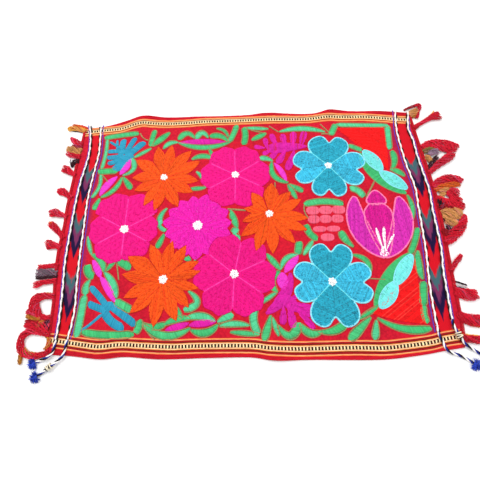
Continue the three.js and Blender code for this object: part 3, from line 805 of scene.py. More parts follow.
@dataclass(frozen=True)
class GroundFinish:
    """The hand-woven red ground with its woven chevrons, and the embroidery's traces beneath."""

    name: str = "red_hand_weave"
    weave_pitch: float = 1.05
    strength: float = 0.7
    relief: float = 0.16
    roughness: float = 0.8
    specular: float = 0.12
    sheen: float = 0.04

    def material(self, weave: NodeTree, step: NodeTree) -> Material:
        """Builds the material.

        Args:
            weave: The shared group for crossing threads.
            step: The shared group for a soft-edged step of colour.

        Returns:
            The new material.
        """
        material, desk = new_material(self.name)
        scaled = desk.add("ShaderNodeMapping")
        desk.feed(scaled.inputs["Vector"], desk.add("ShaderNodeTexCoord").outputs["Object"])
        scaled.inputs["Scale"].default_value = (1 / MM, 1 / MM, 1 / MM)
        threads = desk.add("ShaderNodeGroup", node_tree=weave)
        desk.feed(threads.inputs["Place"], scaled.outputs[0])
        desk.feed(threads.inputs["Pitch"], self.weave_pitch)
        pale_share = desk.noise(scaled.outputs[0], 0.035, 3.0)
        grain = desk.sum("MULTIPLY_ADD", desk.noise(scaled.outputs[0], 0.42, 4.0), 1.5, -0.75)
        share = desk.sum("ADD", pale_share, grain, clamp=True)
        colour = desk.mix(share, (*linear(GROUND_DARK), 1), (*linear(GROUND_LIGHT), 1))
        colour = self.chevrons(desk, step, scaled.outputs[0], colour)
        under = desk.add("ShaderNodeAttribute", attribute_name="under_stitches")
        colour = desk.mix(under.outputs["Alpha"], colour, under.outputs["Color"])
        desk.surface(colour, threads, self.strength, self.relief, self.roughness, self.specular, self.sheen)
        return material

    def chevrons(
        self, desk: NodeDesk, step: NodeTree, place_on: NodeSocket,
        colour: NodeSocket,
    ) -> NodeSocket:
        """Adds the woven chevrons between the cords of each pair.

        Args:
            desk: The material's desk.
            step: The shared group for a soft-edged step of colour.
            place_on: The place on the mat, in millimetres.
            colour: The colour so far.

        Returns:
            The colour with the chevrons on it.
        """
        across = desk.sum("ABSOLUTE", desk.value_of("band_across"))
        thread = desk.add("ShaderNodeMapping")
        desk.feed(thread.inputs["Vector"], place_on)
        thread.inputs["Scale"].default_value = (0.62, 0.09, 1.0)
        ragged = desk.sum("MULTIPLY_ADD", desk.noise(thread.outputs[0], 1.0, 3.0), 17.0, -8.5)
        along = desk.sum("ADD", desk.value_of("band_along"), ragged)
        down = desk.sum("SUBTRACT", CHEVRON_FIRST, along)
        repeat = desk.sum("MODULO", down, CHEVRON_REPEAT)
        inside = desk.sum("LESS_THAN", across, 1.0)
        started = desk.sum("GREATER_THAN", down, 0.0)
        ended = desk.sum("GREATER_THAN", along, CHEVRON_LAST)
        shown = desk.sum("MULTIPLY", started, ended)
        band = (*linear(CHEVRON_RED), 1)
        for point, depth, code in CHEVRON_STEPS:
            past = desk.add("ShaderNodeGroup", node_tree=step)
            desk.feed(past.inputs["Place"], desk.sum("MULTIPLY_ADD", across, depth, repeat))
            past.inputs["Edge"].default_value = point
            past.inputs["Soft"].default_value = 2.2
            band = desk.mix(desk.sum("MULTIPLY", past.outputs["Mask"], shown), band, (*linear(code), 1))
        colour = desk.mix(desk.sum("MULTIPLY", inside, 0.99), colour, band)
        beside = desk.value_of("purple_zone")
        return desk.mix(desk.sum("MULTIPLY", beside, 0.6), colour, (*linear(PURPLE_DYE), 1))


@dataclass
class GroundCloth:
    """The red cloth: one closed sheet with the measures its woven pattern needs."""

    finish: Material
    columns: int = CLOTH_COLUMNS
    rows: int = CLOTH_ROWS
    thick: float = CLOTH_THICK

    def build(self) -> Object:
        """Makes the sheet.

        Returns:
            The cloth.
        """
        columns, rows = np.linspace(0, 1, self.columns + 1), np.linspace(0, 1, self.rows + 1)
        u, v = np.meshgrid(columns, rows, indexing="ij")
        places = CLOTH.point(u.ravel(), v.ravel())
        x, y = places[:, 0], places[:, 1]
        lift = CLOTH.lift(x, y)
        short_side, long_side = np.minimum(u, 1 - u) * CLOTH_LENGTH, np.minimum(v, 1 - v) * CLOTH_DEPTH
        edge = np.minimum(short_side, long_side).ravel()
        rounded = self.thick * (1 - RIM_THINNING * np.exp(-edge / RIM_REACH))
        top = np.column_stack([x, y, lift + rounded])
        bottom = np.column_stack([x, y, lift])
        loops, sizes = self.faces()
        piece = mesh_object("ground_cloth_weave", np.vstack([top, bottom]), loops, sizes, self.finish)
        measures = {
            "band_across": self.band_across(x, y),
            "purple_zone": self.purple_zone(x, y),
            "band_along": y + np.where(x > 0, CHEVRON_SHIFT["right"], CHEVRON_SHIFT["left"]),
        }
        for name, values in measures.items():
            layer = piece.data.attributes.new(name=name, type="FLOAT", domain="POINT")
            layer.data.foreach_set("value", np.tile(values, 2).astype(np.float32))
        log.info("cloth grid %d by %d", self.columns + 1, self.rows + 1)
        place(piece, "ground_cloth", "ground_cloth")
        return piece

    def faces(self) -> tuple[np.ndarray, np.ndarray]:
        """Lists the corners of the top, the underside and the four narrow sides.

        Returns:
            The corners of all faces, and how many each face has.
        """
        step = self.rows + 1
        i, j = np.meshgrid(np.arange(self.columns), np.arange(self.rows), indexing="ij")
        a = (i * step + j).ravel()
        top = np.column_stack([a, a + step, a + step + 1, a + 1])
        below = (self.columns + 1) * step
        under = top[:, ::-1] + below
        along, up = np.arange(self.columns), np.arange(self.rows)
        near = np.column_stack([along * step, (along + 1) * step])
        far = np.column_stack([(along + 1) * step, along * step]) + self.rows
        left = np.column_stack([up + 1, up])
        right = np.column_stack([up, up + 1]) + self.columns * step
        rim = np.vstack([near, far, left, right])
        sides = np.column_stack([rim[:, 1], rim[:, 0], rim[:, 0] + below, rim[:, 1] + below])
        faces = np.vstack([top, under, sides])
        return faces.ravel(), np.full(len(faces), 4)

    @staticmethod
    def purple_zone(x: np.ndarray, y: np.ndarray) -> np.ndarray:
        """How deep the cloth is dyed purple, just inside the inner cord of each pair.

        Args:
            x: Places from left to right.
            y: Places from near to far.

        Returns:
            A share from 0 to 1 for each place.
        """
        left = x - CLOTH.along_y(np.array(COUCHED_CORDS["left_inner"], float), y)
        right = CLOTH.along_y(np.array(COUCHED_CORDS["right_inner"], float), y) - x
        gap = np.where(x < 0, left, right)
        return np.clip(1 - np.abs(gap - 4.5) / 3.5, 0, 1) * (np.abs(y) < 124)

    @staticmethod
    def band_across(x: np.ndarray, y: np.ndarray) -> np.ndarray:
        """Place across the chevron band of each end: -1 at one cord, 1 at the other.

        Args:
            x: Places from left to right.
            y: Places from near to far.

        Returns:
            A number for each place, well past 1 outside the bands.
        """
        across = np.full(x.shape, 5.0)
        for first, second, here in (
            ("left_outer", "left_inner", x < 0), ("right_inner", "right_outer", x > 0),
        ):
            low = CLOTH.along_y(np.array(COUCHED_CORDS[first], float), y)
            high = CLOTH.along_y(np.array(COUCHED_CORDS[second], float), y)
            across[here] = (2 * (x - low) / (high - low) - 1)[here]
        return across


# Plies of a couched cord and of a free end: yarn, radius and distance from the middle; and their pitch
COUCHED_PLIES = [(Yarn.IVORY, 0.6, 0.34), (Yarn.IVORY, 0.6, 0.34)]
COUCHED_PITCH = 15.0
TAIL_PLIES = [(Yarn.IVORY, 0.85, 0.6), (Yarn.BLACK, 0.8, 0.68), (Yarn.NAVY, 0.7, 0.7)]
TAIL_PITCH = 12.5

# The stitches that hold a couched cord down: radius of the loop, of its yarn, and its stations
LOOP_RADIUS = 1.3
LOOP_YARN = 0.2
LOOP_STATIONS = 7
# The black ply beside it: its radius, and how far the cord sways away from it
DASH_RADIUS = 0.72
SWAY = 0.3


@dataclass
class TwistedCord:
    """A cord of two fat white plies laid round each other, with a thinner black ply worked in."""

    finish: Material
    corners: int = 7
    step: float = 1.1
    dash_pitch: float = 12.5

    def plies(
        self, tubes: Tubes, path: np.ndarray, turn: float, pitch: float,
        plies: list[tuple[Yarn, float, float]],
    ) -> None:
        """Lays plies round each other along a path.

        Args:
            tubes: The mesh they join.
            path: The cord's middle line.
            turn: Where round the cord the first ply starts.
            pitch: How far along the cord one full turn goes.
            plies: The yarn, the radius and the distance from the middle of each ply.
        """
        total = lengths_along(path)[-1]
        count = int(total / self.step) + 2
        line = at_shares(path, np.linspace(0, 1, count))
        along = np.linspace(0, total, count)
        frames = framed_rings(line[None], np.array([[[[0.0, 0.0], [1.0, 0.0], [0.0, 1.0]]]]))[0]
        side, above = frames[:, 1] - frames[:, 0], frames[:, 2] - frames[:, 0]
        for part, (yarn, radius, out) in enumerate(plies):
            angle = turn + 2 * np.pi * (along / pitch + part / len(plies))
            ply = line + out * (np.cos(angle)[:, None] * side + np.sin(angle)[:, None] * above)
            size = np.full((1, count), radius)
            size[0, [0, -1]] *= 0.6
            tubes.add(framed_rings(ply[None], round_profile(size, self.corners)), yarn.rgb[None])

    def dashes(self, tubes: Tubes, path: np.ndarray, side: float) -> None:
        """Runs the black ply along one side of a couched cord, dipping under it at each stitch.

        Args:
            tubes: The mesh it joins.
            path: The cord's middle line.
            side: Which side of the cord it shows on: -1 to the left, 1 to the right.
        """
        total = lengths_along(path)[-1]
        count = int(total / 0.8)
        line = at_shares(path, np.linspace(0, 1, count))
        wave = np.cos(2 * np.pi * np.linspace(0, total, count) / self.dash_pitch)
        line = line + np.stack([side * (1.1 + 0.45 * wave), 0 * wave, 1.0 * wave - 0.85], axis=-1)
        size = np.full((1, count), DASH_RADIUS)
        tubes.add(framed_rings(line[None], round_profile(size, self.corners)), Yarn.BLACK.rgb[None])

    def couched(self, name: str, turn: float) -> Object:
        """Makes one couched cord, with the small stitches that hold it.

        Args:
            name: Which cord.
            turn: Where round the cord the first ply starts.

        Returns:
            The cord.
        """
        tubes = Tubes()
        route = smooth_line(COUCHED_CORDS[name])
        high = CORD_SEAT + CLOTH.lift(route[:, 0], route[:, 1])
        path = np.column_stack([route, high])
        side = 1.0 if name in ("left_outer", "right_inner") else -1.0
        self.dashes(tubes, path, side)
        wave = np.cos(2 * np.pi * lengths_along(path) / self.dash_pitch)
        swayed = path - np.outer(SWAY * side * wave, [1.0, 0.0, 0.0])
        self.plies(tubes, swayed, turn, COUCHED_PITCH, COUCHED_PLIES)
        total = lengths_along(path)[-1]
        places = at_lengths(path, np.arange(6.0, total, self.dash_pitch))
        angle = np.linspace(-0.12, math.pi + 0.12, LOOP_STATIONS)
        across, above = np.cos(angle) * LOOP_RADIUS, np.sin(angle) * LOOP_RADIUS - 0.1
        loop = np.stack([across, np.zeros(LOOP_STATIONS), above], axis=-1)
        section = round_profile(np.full((len(places), LOOP_STATIONS), LOOP_YARN), 5)
        rings = framed_rings(places[:, None, :] + loop[None], section)
        tubes.add(rings, np.tile(Yarn.IVORY.rgb, (len(places), 1)))
        piece = tubes.build(f"couched_cord_{name}_plies", self.finish)
        return place(piece, "twisted_cord", f"couched_cord_{name}")

    def tail(self, name: str, turn: float) -> Object:
        """Makes the free end of a cord.

        Args:
            name: Which cord.
            turn: Where round the cord the first ply starts.

        Returns:
            The cord end.
        """
        tubes = Tubes()
        path = smooth_line(CORD_TAILS[name])
        self.plies(tubes, path, turn, TAIL_PITCH, TAIL_PLIES)
        piece = tubes.build(f"cord_tail_{name}_plies", self.finish)
        return place(piece, "twisted_cord", f"cord_tail_{name}")


# Bundles of the tied-off fringe, yarn by yarn: points from root to tip, each with its half width
LEFT_BUNDLES = {
    "GOLD": [
        [(-205, 137, 2.5), (-212, 140, 2.8), (-219, 142, 3), (-227, 142, 2.8), (-230, 141, 1.6)],
        [(-209, -135, 0.9), (-218, -137, 1), (-228, -137, 1.1), (-235, -134, 0.9)],
    ],
    "ORANGE": [
        [(-205, 140, 2), (-213, 144, 2.2), (-219, 146, 2.4), (-225, 146, 2.2)],
        [(-222, 5, 1.4), (-226, 8, 1.8), (-231, 10, 1.6)],
    ],
    "RED": [
        [(-205, 139, 1.5), (-213, 141, 1.7), (-220, 143, 1.5), (-228, 143, 1.2)],
        [(-204, 142, 1.4), (-209, 144, 1.8), (-216, 146, 1.4), (-222, 148, 1.6)],
        [(-213, 144, 1.2), (-212, 149, 0.5)],
        [(-206, 117, 3), (-211, 118, 3.4), (-217, 122, 3.4), (-221, 126, 2.2), (-224, 129, 1.2)],
        [(-206, 98, 2.6), (-214, 100, 2.8), (-220, 102, 3.2), (-225, 106, 3)],
        [(-208, 72, 2.6), (-212, 74, 2.5), (-218, 78, 3.6), (-222, 81, 4.6), (-227, 83, 4)],
        [(-208, 40, 3), (-213, 44, 2.6), (-218, 48, 3.8), (-222, 50, 4.3), (-228, 51, 2)],
        [(-209, 16, 3), (-214, 18, 2.2), (-220, 20, 3.6), (-226, 22, 4.6), (-232, 20, 3.2)],
        [(-209, -11, 3), (-213, -6, 2.5), (-218, -1, 3), (-223, 4, 3.6), (-229, 9, 3.4)],
        [(-210, -22, 3.2), (-215, -20, 2.7), (-220, -19, 4), (-225, -18, 5.2), (-229, -19, 4.4)],
        [(-209, -44, 3), (-217, -43, 2.3), (-226, -44, 2.4), (-233, -44, 2.7)],
        [(-208, -60, 2.8), (-216, -61, 2.3), (-224, -62, 2.6), (-230, -64, 3.3), (-234, -65, 2.6)],
        [(-207, -77, 3), (-214, -77, 2.8), (-221, -77, 3.6), (-227, -80, 4.6), (-228, -86, 5),
         (-225, -92, 4.4), (-219, -98, 3), (-212, -100, 2.6), (-206, -99, 3)],
        [(-222, -93, 4), (-229, -93, 3.4), (-236, -93, 1.8)],
        [(-207, -110, 3.6), (-214, -108, 4.4), (-222, -107, 3.6), (-229, -107, 2.8), (-235, -107, 2)],
        [(-205, -117, 3), (-212, -115, 2.8), (-221, -113, 3.2), (-229, -114, 3.2), (-234, -119, 3.2),
         (-234, -127, 3.4), (-230, -134, 3.2), (-222, -137, 2.8), (-213, -137, 2.8), (-203, -134, 2.6)],
    ],
    "DARK": [
        [(-206, 135, 0.7), (-215, 138, 0.8), (-225, 140, 0.7)],
        [(-207, 92, 2.6), (-212, 91, 3), (-215, 87, 2.4), (-214, 84, 1.4)],
        [(-208, -56, 2.2), (-216, -55, 2.4), (-225, -56, 2.2), (-233, -56, 1.6)],
    ],
    "TAN": [
        [(-206, 106, 3.8), (-214, 108, 4.4), (-221, 110, 4.2), (-226, 112, 2.6)],
    ],
    "DEEP": [
        [(-206, 112, 2.6), (-213, 114, 2.8), (-220, 116, 2.2)],
        [(-219, -105, 2.8), (-226, -104, 2.2), (-235, -103, 2)],
    ],
    "GREY": [
        [(-219, 96, 0.3), (-219, 91, 0.35), (-214, 86, 0.3)],
        [(-209, -52, 3), (-218, -51, 3.4), (-227, -51, 4), (-234, -51, 3.8)],
    ],
    "OCHRE": [
        [(-230, -130, 1.6), (-225, -134, 1.9), (-217, -136, 1.7), (-210, -135, 1.2)],
        [(-208, -75, 1), (-216, -74, 1.2), (-225, -75, 1.3), (-229, -77, 1.2)],
        [(-218, -101, 2.8), (-225, -100, 2), (-232, -98, 2.2), (-235, -99, 1.4)],
        [(-213, -101, 1.6), (-217, -105, 2.4), (-222, -109, 1.6)],
        [(-211, -117, 1.2), (-206, -120, 2), (-205, -126, 2), (-209, -132, 1.6)],
        [(-231, -131, 1.3), (-232, -138, 1.9), (-231, -146, 1.5)],
    ],
    "BLACK": [
        [(-210, -100, 1.8), (-210, -104, 2.8), (-209, -109, 2.8), (-209, -113, 2)],
    ],
}
RIGHT_BUNDLES = {
    "TAN": [
        [(206, 141, 3), (210, 144, 4), (215, 147, 3.4), (218, 151, 1.8)],
        [(213, 79, 3), (217, 77, 3.2), (219, 72, 2)],
        [(220, 31, 2.8), (226, 34, 3), (232, 35, 2)],
        [(226, 31, 2), (221, 27, 2.4), (219, 22, 2)],
        [(216, 4, 4), (224, 5, 6.4), (232, 5, 6.6), (239, 3, 4)],
        [(218, -4, 3), (225, -6, 4), (231, -8, 2.6)],
    ],
    "OCHRE": [
        [(210, 138, 1.4), (214, 142, 1.8), (215, 147, 1.4)],
        [(224, 1, 2), (230, 9, 2.4), (238, 9, 1.6)],
    ],
    "DEEP": [
        [(202, 150, 1.1), (208, 153, 1.5), (213, 155, 1.6), (219, 157, 1.6)],
        [(214, 12, 2.6), (222, 13, 3), (231, 11, 2.6)],
        [(214, -14, 3), (217, -20, 3.4), (222, -24, 2)],
    ],
    "RED": [
        [(217, -2, 0.6), (224, 5, 0.8), (232, 9, 0.7), (239, 9, 0.5)],
        [(216, 156, 1.4), (221, 157, 2.2), (222, 153, 2), (219, 147, 1.6), (217, 141, 1.6), (214, 136, 1.8)],
        [(208, 121, 2.8), (216, 127, 2.2), (223, 131, 2.2), (230, 135, 2.8), (237, 138, 4.6),
         (242, 139, 5.2), (245, 140, 4.4)],
        [(212, 92, 3), (218, 96, 3.6), (226, 98, 4.6), (235, 97, 5.2), (243, 95, 5.6), (250, 91, 5.8),
         (254, 88, 4.4)],
        [(213, 57, 2.6), (219, 62, 2.8), (226, 68, 3.6), (235, 74, 4.2), (243, 80, 4.2), (248, 85, 3)],
        [(214, 38, 2.6), (219, 43, 3.6), (226, 47, 4.4), (235, 49, 4.6), (244, 47, 4.2), (249, 44, 3)],
        [(214, 26, 2.4), (222, 21, 3.4), (229, 17, 5), (237, 14, 4.8), (244, 13, 3.4)],
        [(227, 31, 2.6), (232, 30, 5.4), (237, 29, 6.4), (242, 28, 5.2)],
        [(240, 3, 2.4), (237, -6, 3.8), (231, -14, 4.8), (225, -19, 5.2), (218, -26, 4.2), (212, -31, 2.6)],
        [(229, 24, 2.6), (236, 21, 4), (243, 20, 2.6)],
        [(222, 93, 2), (230, 92, 3), (239, 89, 3.6), (246, 86, 3)],
        [(211, -61, 2.6), (215, -56, 2.3), (219, -51, 2.3), (223, -47, 2.3), (227, -42, 1.6)],
        [(210, -82, 3.6), (215, -84, 4.6), (221, -86, 5.4), (228, -86, 5), (233, -86, 3.6)],
        [(208, -104, 3), (212, -108, 4), (218, -111, 5.2), (226, -112, 5.4), (233, -112, 4)],
        [(206, -127, 2.8), (212, -129, 3.2), (220, -130, 3.4), (230, -131, 2.8)],
    ],
    "GOLD": [
        [(209, 125, 1.2), (217, 129, 0.8), (224, 134, 0.7), (232, 139, 0.8), (239, 148, 0.5)],
        [(209, -108, 0.8), (219, -115, 1), (230, -118, 1)],
        [(207, -124, 1), (215, -126, 1.2), (226, -127, 1)],
    ],
    "DARK": [
        [(212, 125, 0.5), (219, 130, 0.6), (226, 135, 0.6), (233, 139, 0.5)],
        [(214, 62, 1.6), (218, 69, 2.2), (223, 75, 2.4), (229, 80, 2)],
        [(232, 93, 0.7), (238, 89, 0.8), (242, 84, 0.5)],
    ],
    "OLIVE": [
        [(213, 86, 2.4), (218, 89, 2.8), (224, 90, 2.4), (229, 90, 1.6)],
    ],
    "MAUVE": [
        [(218, 82, 2.4), (225, 86, 3.6), (231, 87, 3.2)],
    ],
    "WHITE": [
        [(216, 65, 0.5), (222, 73, 0.6), (228, 80, 0.6), (233, 87, 0.6)],
        [(220, 90, 0.4), (227, 92, 0.5), (233, 89, 0.5), (234, 84, 0.4)],
        [(210, -74, 0.6), (217, -76, 0.8), (225, -78, 0.6)],
    ],
    "ORANGE": [
        [(215, 34, 2.6), (222, 38, 2.8), (230, 40, 3), (239, 41, 2.8), (246, 40, 1.8)],
    ],
    "BLACK": [
        [(218, 8, 0.5), (224, 3, 0.6), (229, 6, 0.6), (234, 1, 0.6), (238, 5, 0.4)],
        [(217, 23, 2.4), (218, 17, 3.2), (217, 10, 2.2)],
        [(220, 10, 0.8), (218, 3, 0.9), (219, -5, 0.9), (225, -8, 0.9), (230, -3, 0.8), (226, 3, 0.7)],
        [(219, -9, 1.4), (221, -15, 2), (218, -20, 1.2)],
        [(210, -71, 0.8), (217, -73, 0.9), (225, -76, 0.7)],
        [(210, -77, 0.8), (218, -79, 0.9), (226, -81, 0.7)],
    ],
}


@dataclass
class Fringe:
    """The tied-off warp ends at one short side: bundles of crimped yarn with rounded ends."""

    side: str
    finish: Material
    seed: int
    yarn_radius: float = 0.43

    @property
    def outward(self) -> float:
        """The way out from the cloth: -1 to the left, 1 to the right."""
        return -1.0 if self.side == "left" else 1.0

    def build(self) -> Object:
        """Makes the fringe.

        Returns:
            The fringe.
        """
        tubes = Tubes()
        self.overcast(tubes)
        draw = np.random.default_rng(self.seed)
        for yarn, bundles in (LEFT_BUNDLES if self.side == "left" else RIGHT_BUNDLES).items():
            for points in bundles:
                self.bundle(tubes, Yarn["TASSEL_" + yarn], points, draw)
        piece = tubes.build(f"fringe_{self.side}_yarns", self.finish)
        return place(piece, "fringe_yarn", f"fringe_{self.side}")

    def overcast(self, tubes: Tubes) -> None:
        """Sews over the cloth's edge and the strip beside it.

        Args:
            tubes: The mesh it joins.
        """
        line = CLOTH.left if self.side == "left" else CLOTH.right
        total = lengths_along(line)[-1]
        shares = np.arange(0.006 * total, 0.993 * total, 1.15) / total
        roots = at_shares(line, shares)
        count = len(roots)
        reach = np.array([-1.1, -0.7, 0.3, 1.5, 2.2, 2.2, 1.5, 0.0])
        height = np.array([1.45, 1.95, 2.25, 1.95, 1.2, 0.5, 0.45, 0.45])
        slant = np.array([0.6, 0.45, 0.3, 0.15, 0.0, 0.0, 0.1, 0.3])
        lift = CLOTH.lift(roots[:, 0], roots[:, 1])
        path = np.stack([
            roots[:, None, 0] + self.outward * reach[None, :],
            roots[:, None, 1] + slant[None, :],
            height[None, :] + lift[:, None],
        ], axis=-1)
        draw = np.random.default_rng(self.seed + 50)
        tint = draw.uniform(0.85, 1.1, (count, 1))
        tubes.add(
            framed_rings(path, round_profile(np.full((count, 8), 0.44), 4)),
            np.clip(Yarn.CRIMSON.rgb[None] * tint, 0, 1),
        )

    def bundle(
        self, tubes: Tubes, yarn: Yarn, points: list[tuple[float, float, float]],
        draw: np.random.Generator,
    ) -> None:
        """Makes one bundle of crimped yarns.

        Args:
            tubes: The mesh it joins.
            yarn: The colour of its yarns.
            points: Places from root to tip, each with the bundle's half width.
            draw: Where its small chances come from.
        """
        curve = smooth_line(points, 8)
        total = lengths_along(curve[:, :2])[-1]
        stations = max(6, int(total / 1.15))
        widest = curve[:, 2].max()
        fine = min(1.0, 0.45 + 0.28 * widest)
        count = int(np.clip(widest * 5.4 / fine, 4, 32))
        turn = np.arange(count) * EVEN_TURN + draw.uniform(-0.3, 0.3, count)
        out = ((np.arange(count) + 0.5) / count) ** 0.32
        rounding = 1 - np.sqrt(1 - (out * np.cos(turn)) ** 2)
        short = draw.uniform(0, 1.0, count) + rounding * points[-1][2] * 0.8
        ends = np.clip(1 - short / total, 0.5, 1)
        shares = np.linspace(0, 1, stations)[None, :] * ends[:, None]
        line = at_shares(curve, shares.ravel()).reshape(count, stations, 3)
        ahead = np.gradient(line[..., :2], axis=1)
        ahead /= np.maximum(np.linalg.norm(ahead, axis=-1, keepdims=True), 1e-6)
        across = np.stack([-ahead[..., 1], ahead[..., 0]], axis=-1)
        along = shares * total
        half = np.maximum(line[..., 2] * 1.25 - 0.35 * fine, 0.1)
        high = np.minimum(0.15 + 0.5 * half, 1.7)
        angle = turn[:, None] + along / 5.2
        crimp = draw.uniform(2.2, 4.0, (count, 1))
        phase = draw.uniform(0, 2 * np.pi, (count, 1))
        size = 0.42 * fine * np.minimum(1, along / 3)
        off = out[:, None] * np.cos(angle) * half + size * np.sin(2 * np.pi * along / crimp + phase)
        rise = out[:, None] * np.sin(angle) * high + 0.8 * size * np.cos(2 * np.pi * along / crimp + phase)
        flat = line[..., :2] + across * off[..., None]
        thick = self.yarn_radius * fine
        z = np.maximum(thick + 0.1 + high + rise, thick * 0.9)
        radius = thick * draw.uniform(0.85, 1.15, (count, 1)) * np.interp(
            np.linspace(0, 1, stations), [0, 0.9, 1], [1.0, 1.0, 0.6],
        )
        tint = draw.uniform(0.66, 1.16, (count, 1))
        # About a quarter of the yarns are mixed part way to rose: painted highlights on the fringe
        pale_share = draw.uniform(0, 0.3, (count, 1)) * (draw.uniform(0, 1, (count, 1)) < 0.25)
        colours = np.clip(yarn.rgb[None] * tint, 0, 1) * (1 - pale_share) + pale_share * Yarn.ROSE.rgb[None]
        paths = np.concatenate([flat, z[..., None]], axis=-1)
        tubes.add(framed_rings(paths, round_profile(radius, 4)), colours)


@dataclass
class EndTuft:
    """A tuft of fine blue yarn ends bound to a cord's free end."""

    name: str
    finish: Material
    seed: int
    strands: int = 150

    def build(self) -> Object:
        """Makes the tuft, with the whipping round its head.

        Returns:
            The tuft.
        """
        tubes = Tubes()
        draw = np.random.default_rng(self.seed)
        end = np.array(CORD_TAILS[self.name][-1], float)
        before = np.array(CORD_TAILS[self.name][-2], float)
        ahead = end[:2] - before[:2]
        ahead /= np.linalg.norm(ahead)
        head = end + np.array([*(ahead * 1.6), 0.5])
        bearing = math.atan2(ahead[1], ahead[0])
        self.whipping(tubes, head, bearing)
        count = self.strands
        turn = bearing + np.radians(draw.uniform(-105, 105, count))
        length = draw.uniform(3.4, 6.8, count)
        rise = draw.uniform(0, 1, count) ** 1.6
        t = np.linspace(0, 1, 7)[None, :]
        bend = draw.uniform(-0.6, 0.6, (count, 1))
        heading = turn[:, None] + bend * t
        x = head[0] + (length[:, None] * t) * np.cos(heading)
        y = head[1] + (length[:, None] * t) * np.sin(heading)
        top = 0.3 + rise[:, None] * 3.2
        z = head[2] + (top - head[2]) * np.minimum(1, t * 1.9) + rise[:, None] * 0.9 * np.sin(np.pi * t)
        path = np.stack([x, y, np.maximum(z, 0.26)], axis=-1)
        radius = draw.uniform(0.22, 0.34, (count, 1)) * np.interp(t, [0, 0.7, 1], [1, 1, 0.6])
        dyes = np.array([linear("1C34B0"), linear("2C4CD0"), linear("142478"), linear("3C58C8")])
        tubes.add(framed_rings(path, round_profile(radius, 5)), dyes[draw.integers(0, 4, count)])
        piece = tubes.build(f"end_tuft_{self.name}_strands", self.finish)
        return place(piece, "tuft_yarn", f"end_tuft_{self.name}")

    def whipping(self, tubes: Tubes, head: np.ndarray, bearing: float) -> None:
        """Winds fine yarn round the head of the tuft.

        Args:
            tubes: The mesh it joins.
            head: The head's middle.
            bearing: The way the tuft points.
        """
        turns = 5
        angle = np.linspace(0, turns * 2 * np.pi, turns * 14 + 1)
        along = np.linspace(-1.5, 1.0, len(angle))
        size = 1.25 * np.sqrt(np.maximum(0.2, 1 - (along / 2.2) ** 2))
        ahead = np.array([math.cos(bearing), math.sin(bearing), 0.0])
        beside = np.array([-math.sin(bearing), math.cos(bearing), 0.0])
        path = head + along[:, None] * ahead
        path = path + (size * np.cos(angle))[:, None] * beside + (size * np.sin(angle))[:, None] * UP
        path[:, 2] = np.maximum(path[:, 2], 0.3)
        radius = np.full((1, len(angle)), 0.3)
        tubes.add(framed_rings(path[None], round_profile(radius, 5)), linear("2C44B8")[None])


@dataclass
class CordKnot:
    """Loops of cream, black and navy yarn knotted round a cord's free end."""

    name: str
    finish: Material
    turn: float

    def build(self) -> Object:
        """Makes the knot.

        Returns:
            The knot.
        """
        tubes = Tubes()
        path = np.array(CORD_TAILS[self.name], float)
        middle = path[KNOT_AT[self.name]]
        ahead = path[KNOT_AT[self.name] + 1] - path[KNOT_AT[self.name] - 1]
        ahead /= np.linalg.norm(ahead)
        beside = np.cross(UP, ahead)
        beside /= np.linalg.norm(beside)
        above = np.cross(ahead, beside)
        lowest = 0.5
        loops = [
            (Yarn.KNOT_CREAM, 2.3, 0.8, 0.75, 0.62), (Yarn.BLACK, 2.15, -0.5, -0.7, 0.5),
            (Yarn.KNOT_CREAM, 2.5, -1.6, 0.2, 0.6), (Yarn.KNOT_CREAM, 2.5, 2.1, -0.35, 0.56),
            (Yarn.BLACK, 2.3, 3.1, 0.5, 0.4),
        ]
        for yarn, size, along, tilt, radius in loops:
            angle = np.linspace(0, 2 * np.pi * 0.985, 40) + self.turn
            line = middle + ahead * along + (size * np.cos(angle))[:, None] * beside
            line = line + (size * np.sin(angle))[:, None] * above
            line = line + (tilt * np.cos(angle))[:, None] * ahead
            line[:, 2] = np.maximum(line[:, 2], lowest)
            tubes.add(framed_rings(line[None], round_profile(np.full((1, 40), radius), 7)), yarn.rgb[None])
        piece = tubes.build(f"knot_{self.name}_loops", self.finish)
        return place(piece, "knot_yarn", f"knot_{self.name}")


def inside_any(places: np.ndarray, outlines: list[np.ndarray]) -> np.ndarray:
    """Says which places lie inside any of the outlines.

    Args:
        places: An x and y for each place.
        outlines: Closed outlines.

    Returns:
        True or False for each place.
    """
    found = np.zeros(len(places), bool)
    for outline in outlines:
        near = np.flatnonzero(
            ~found & np.all((places > outline.min(axis=0)) & (places < outline.max(axis=0)), axis=1)
        )
        if not len(near):
            continue
        x, y = places[near, 0][:, None], places[near, 1][:, None]
        a, b = outline, np.roll(outline, -1, axis=0)
        crossed = (a[:, 1] <= y) != (b[:, 1] <= y)
        rise = np.where(np.abs(b[:, 1] - a[:, 1]) < 1e-9, 1e-9, b[:, 1] - a[:, 1])
        beyond = x < a[:, 0] + (y - a[:, 1]) * (b[:, 0] - a[:, 0]) / rise
        found[near] = np.sum(crossed & beyond, axis=1) % 2 == 1
    return found


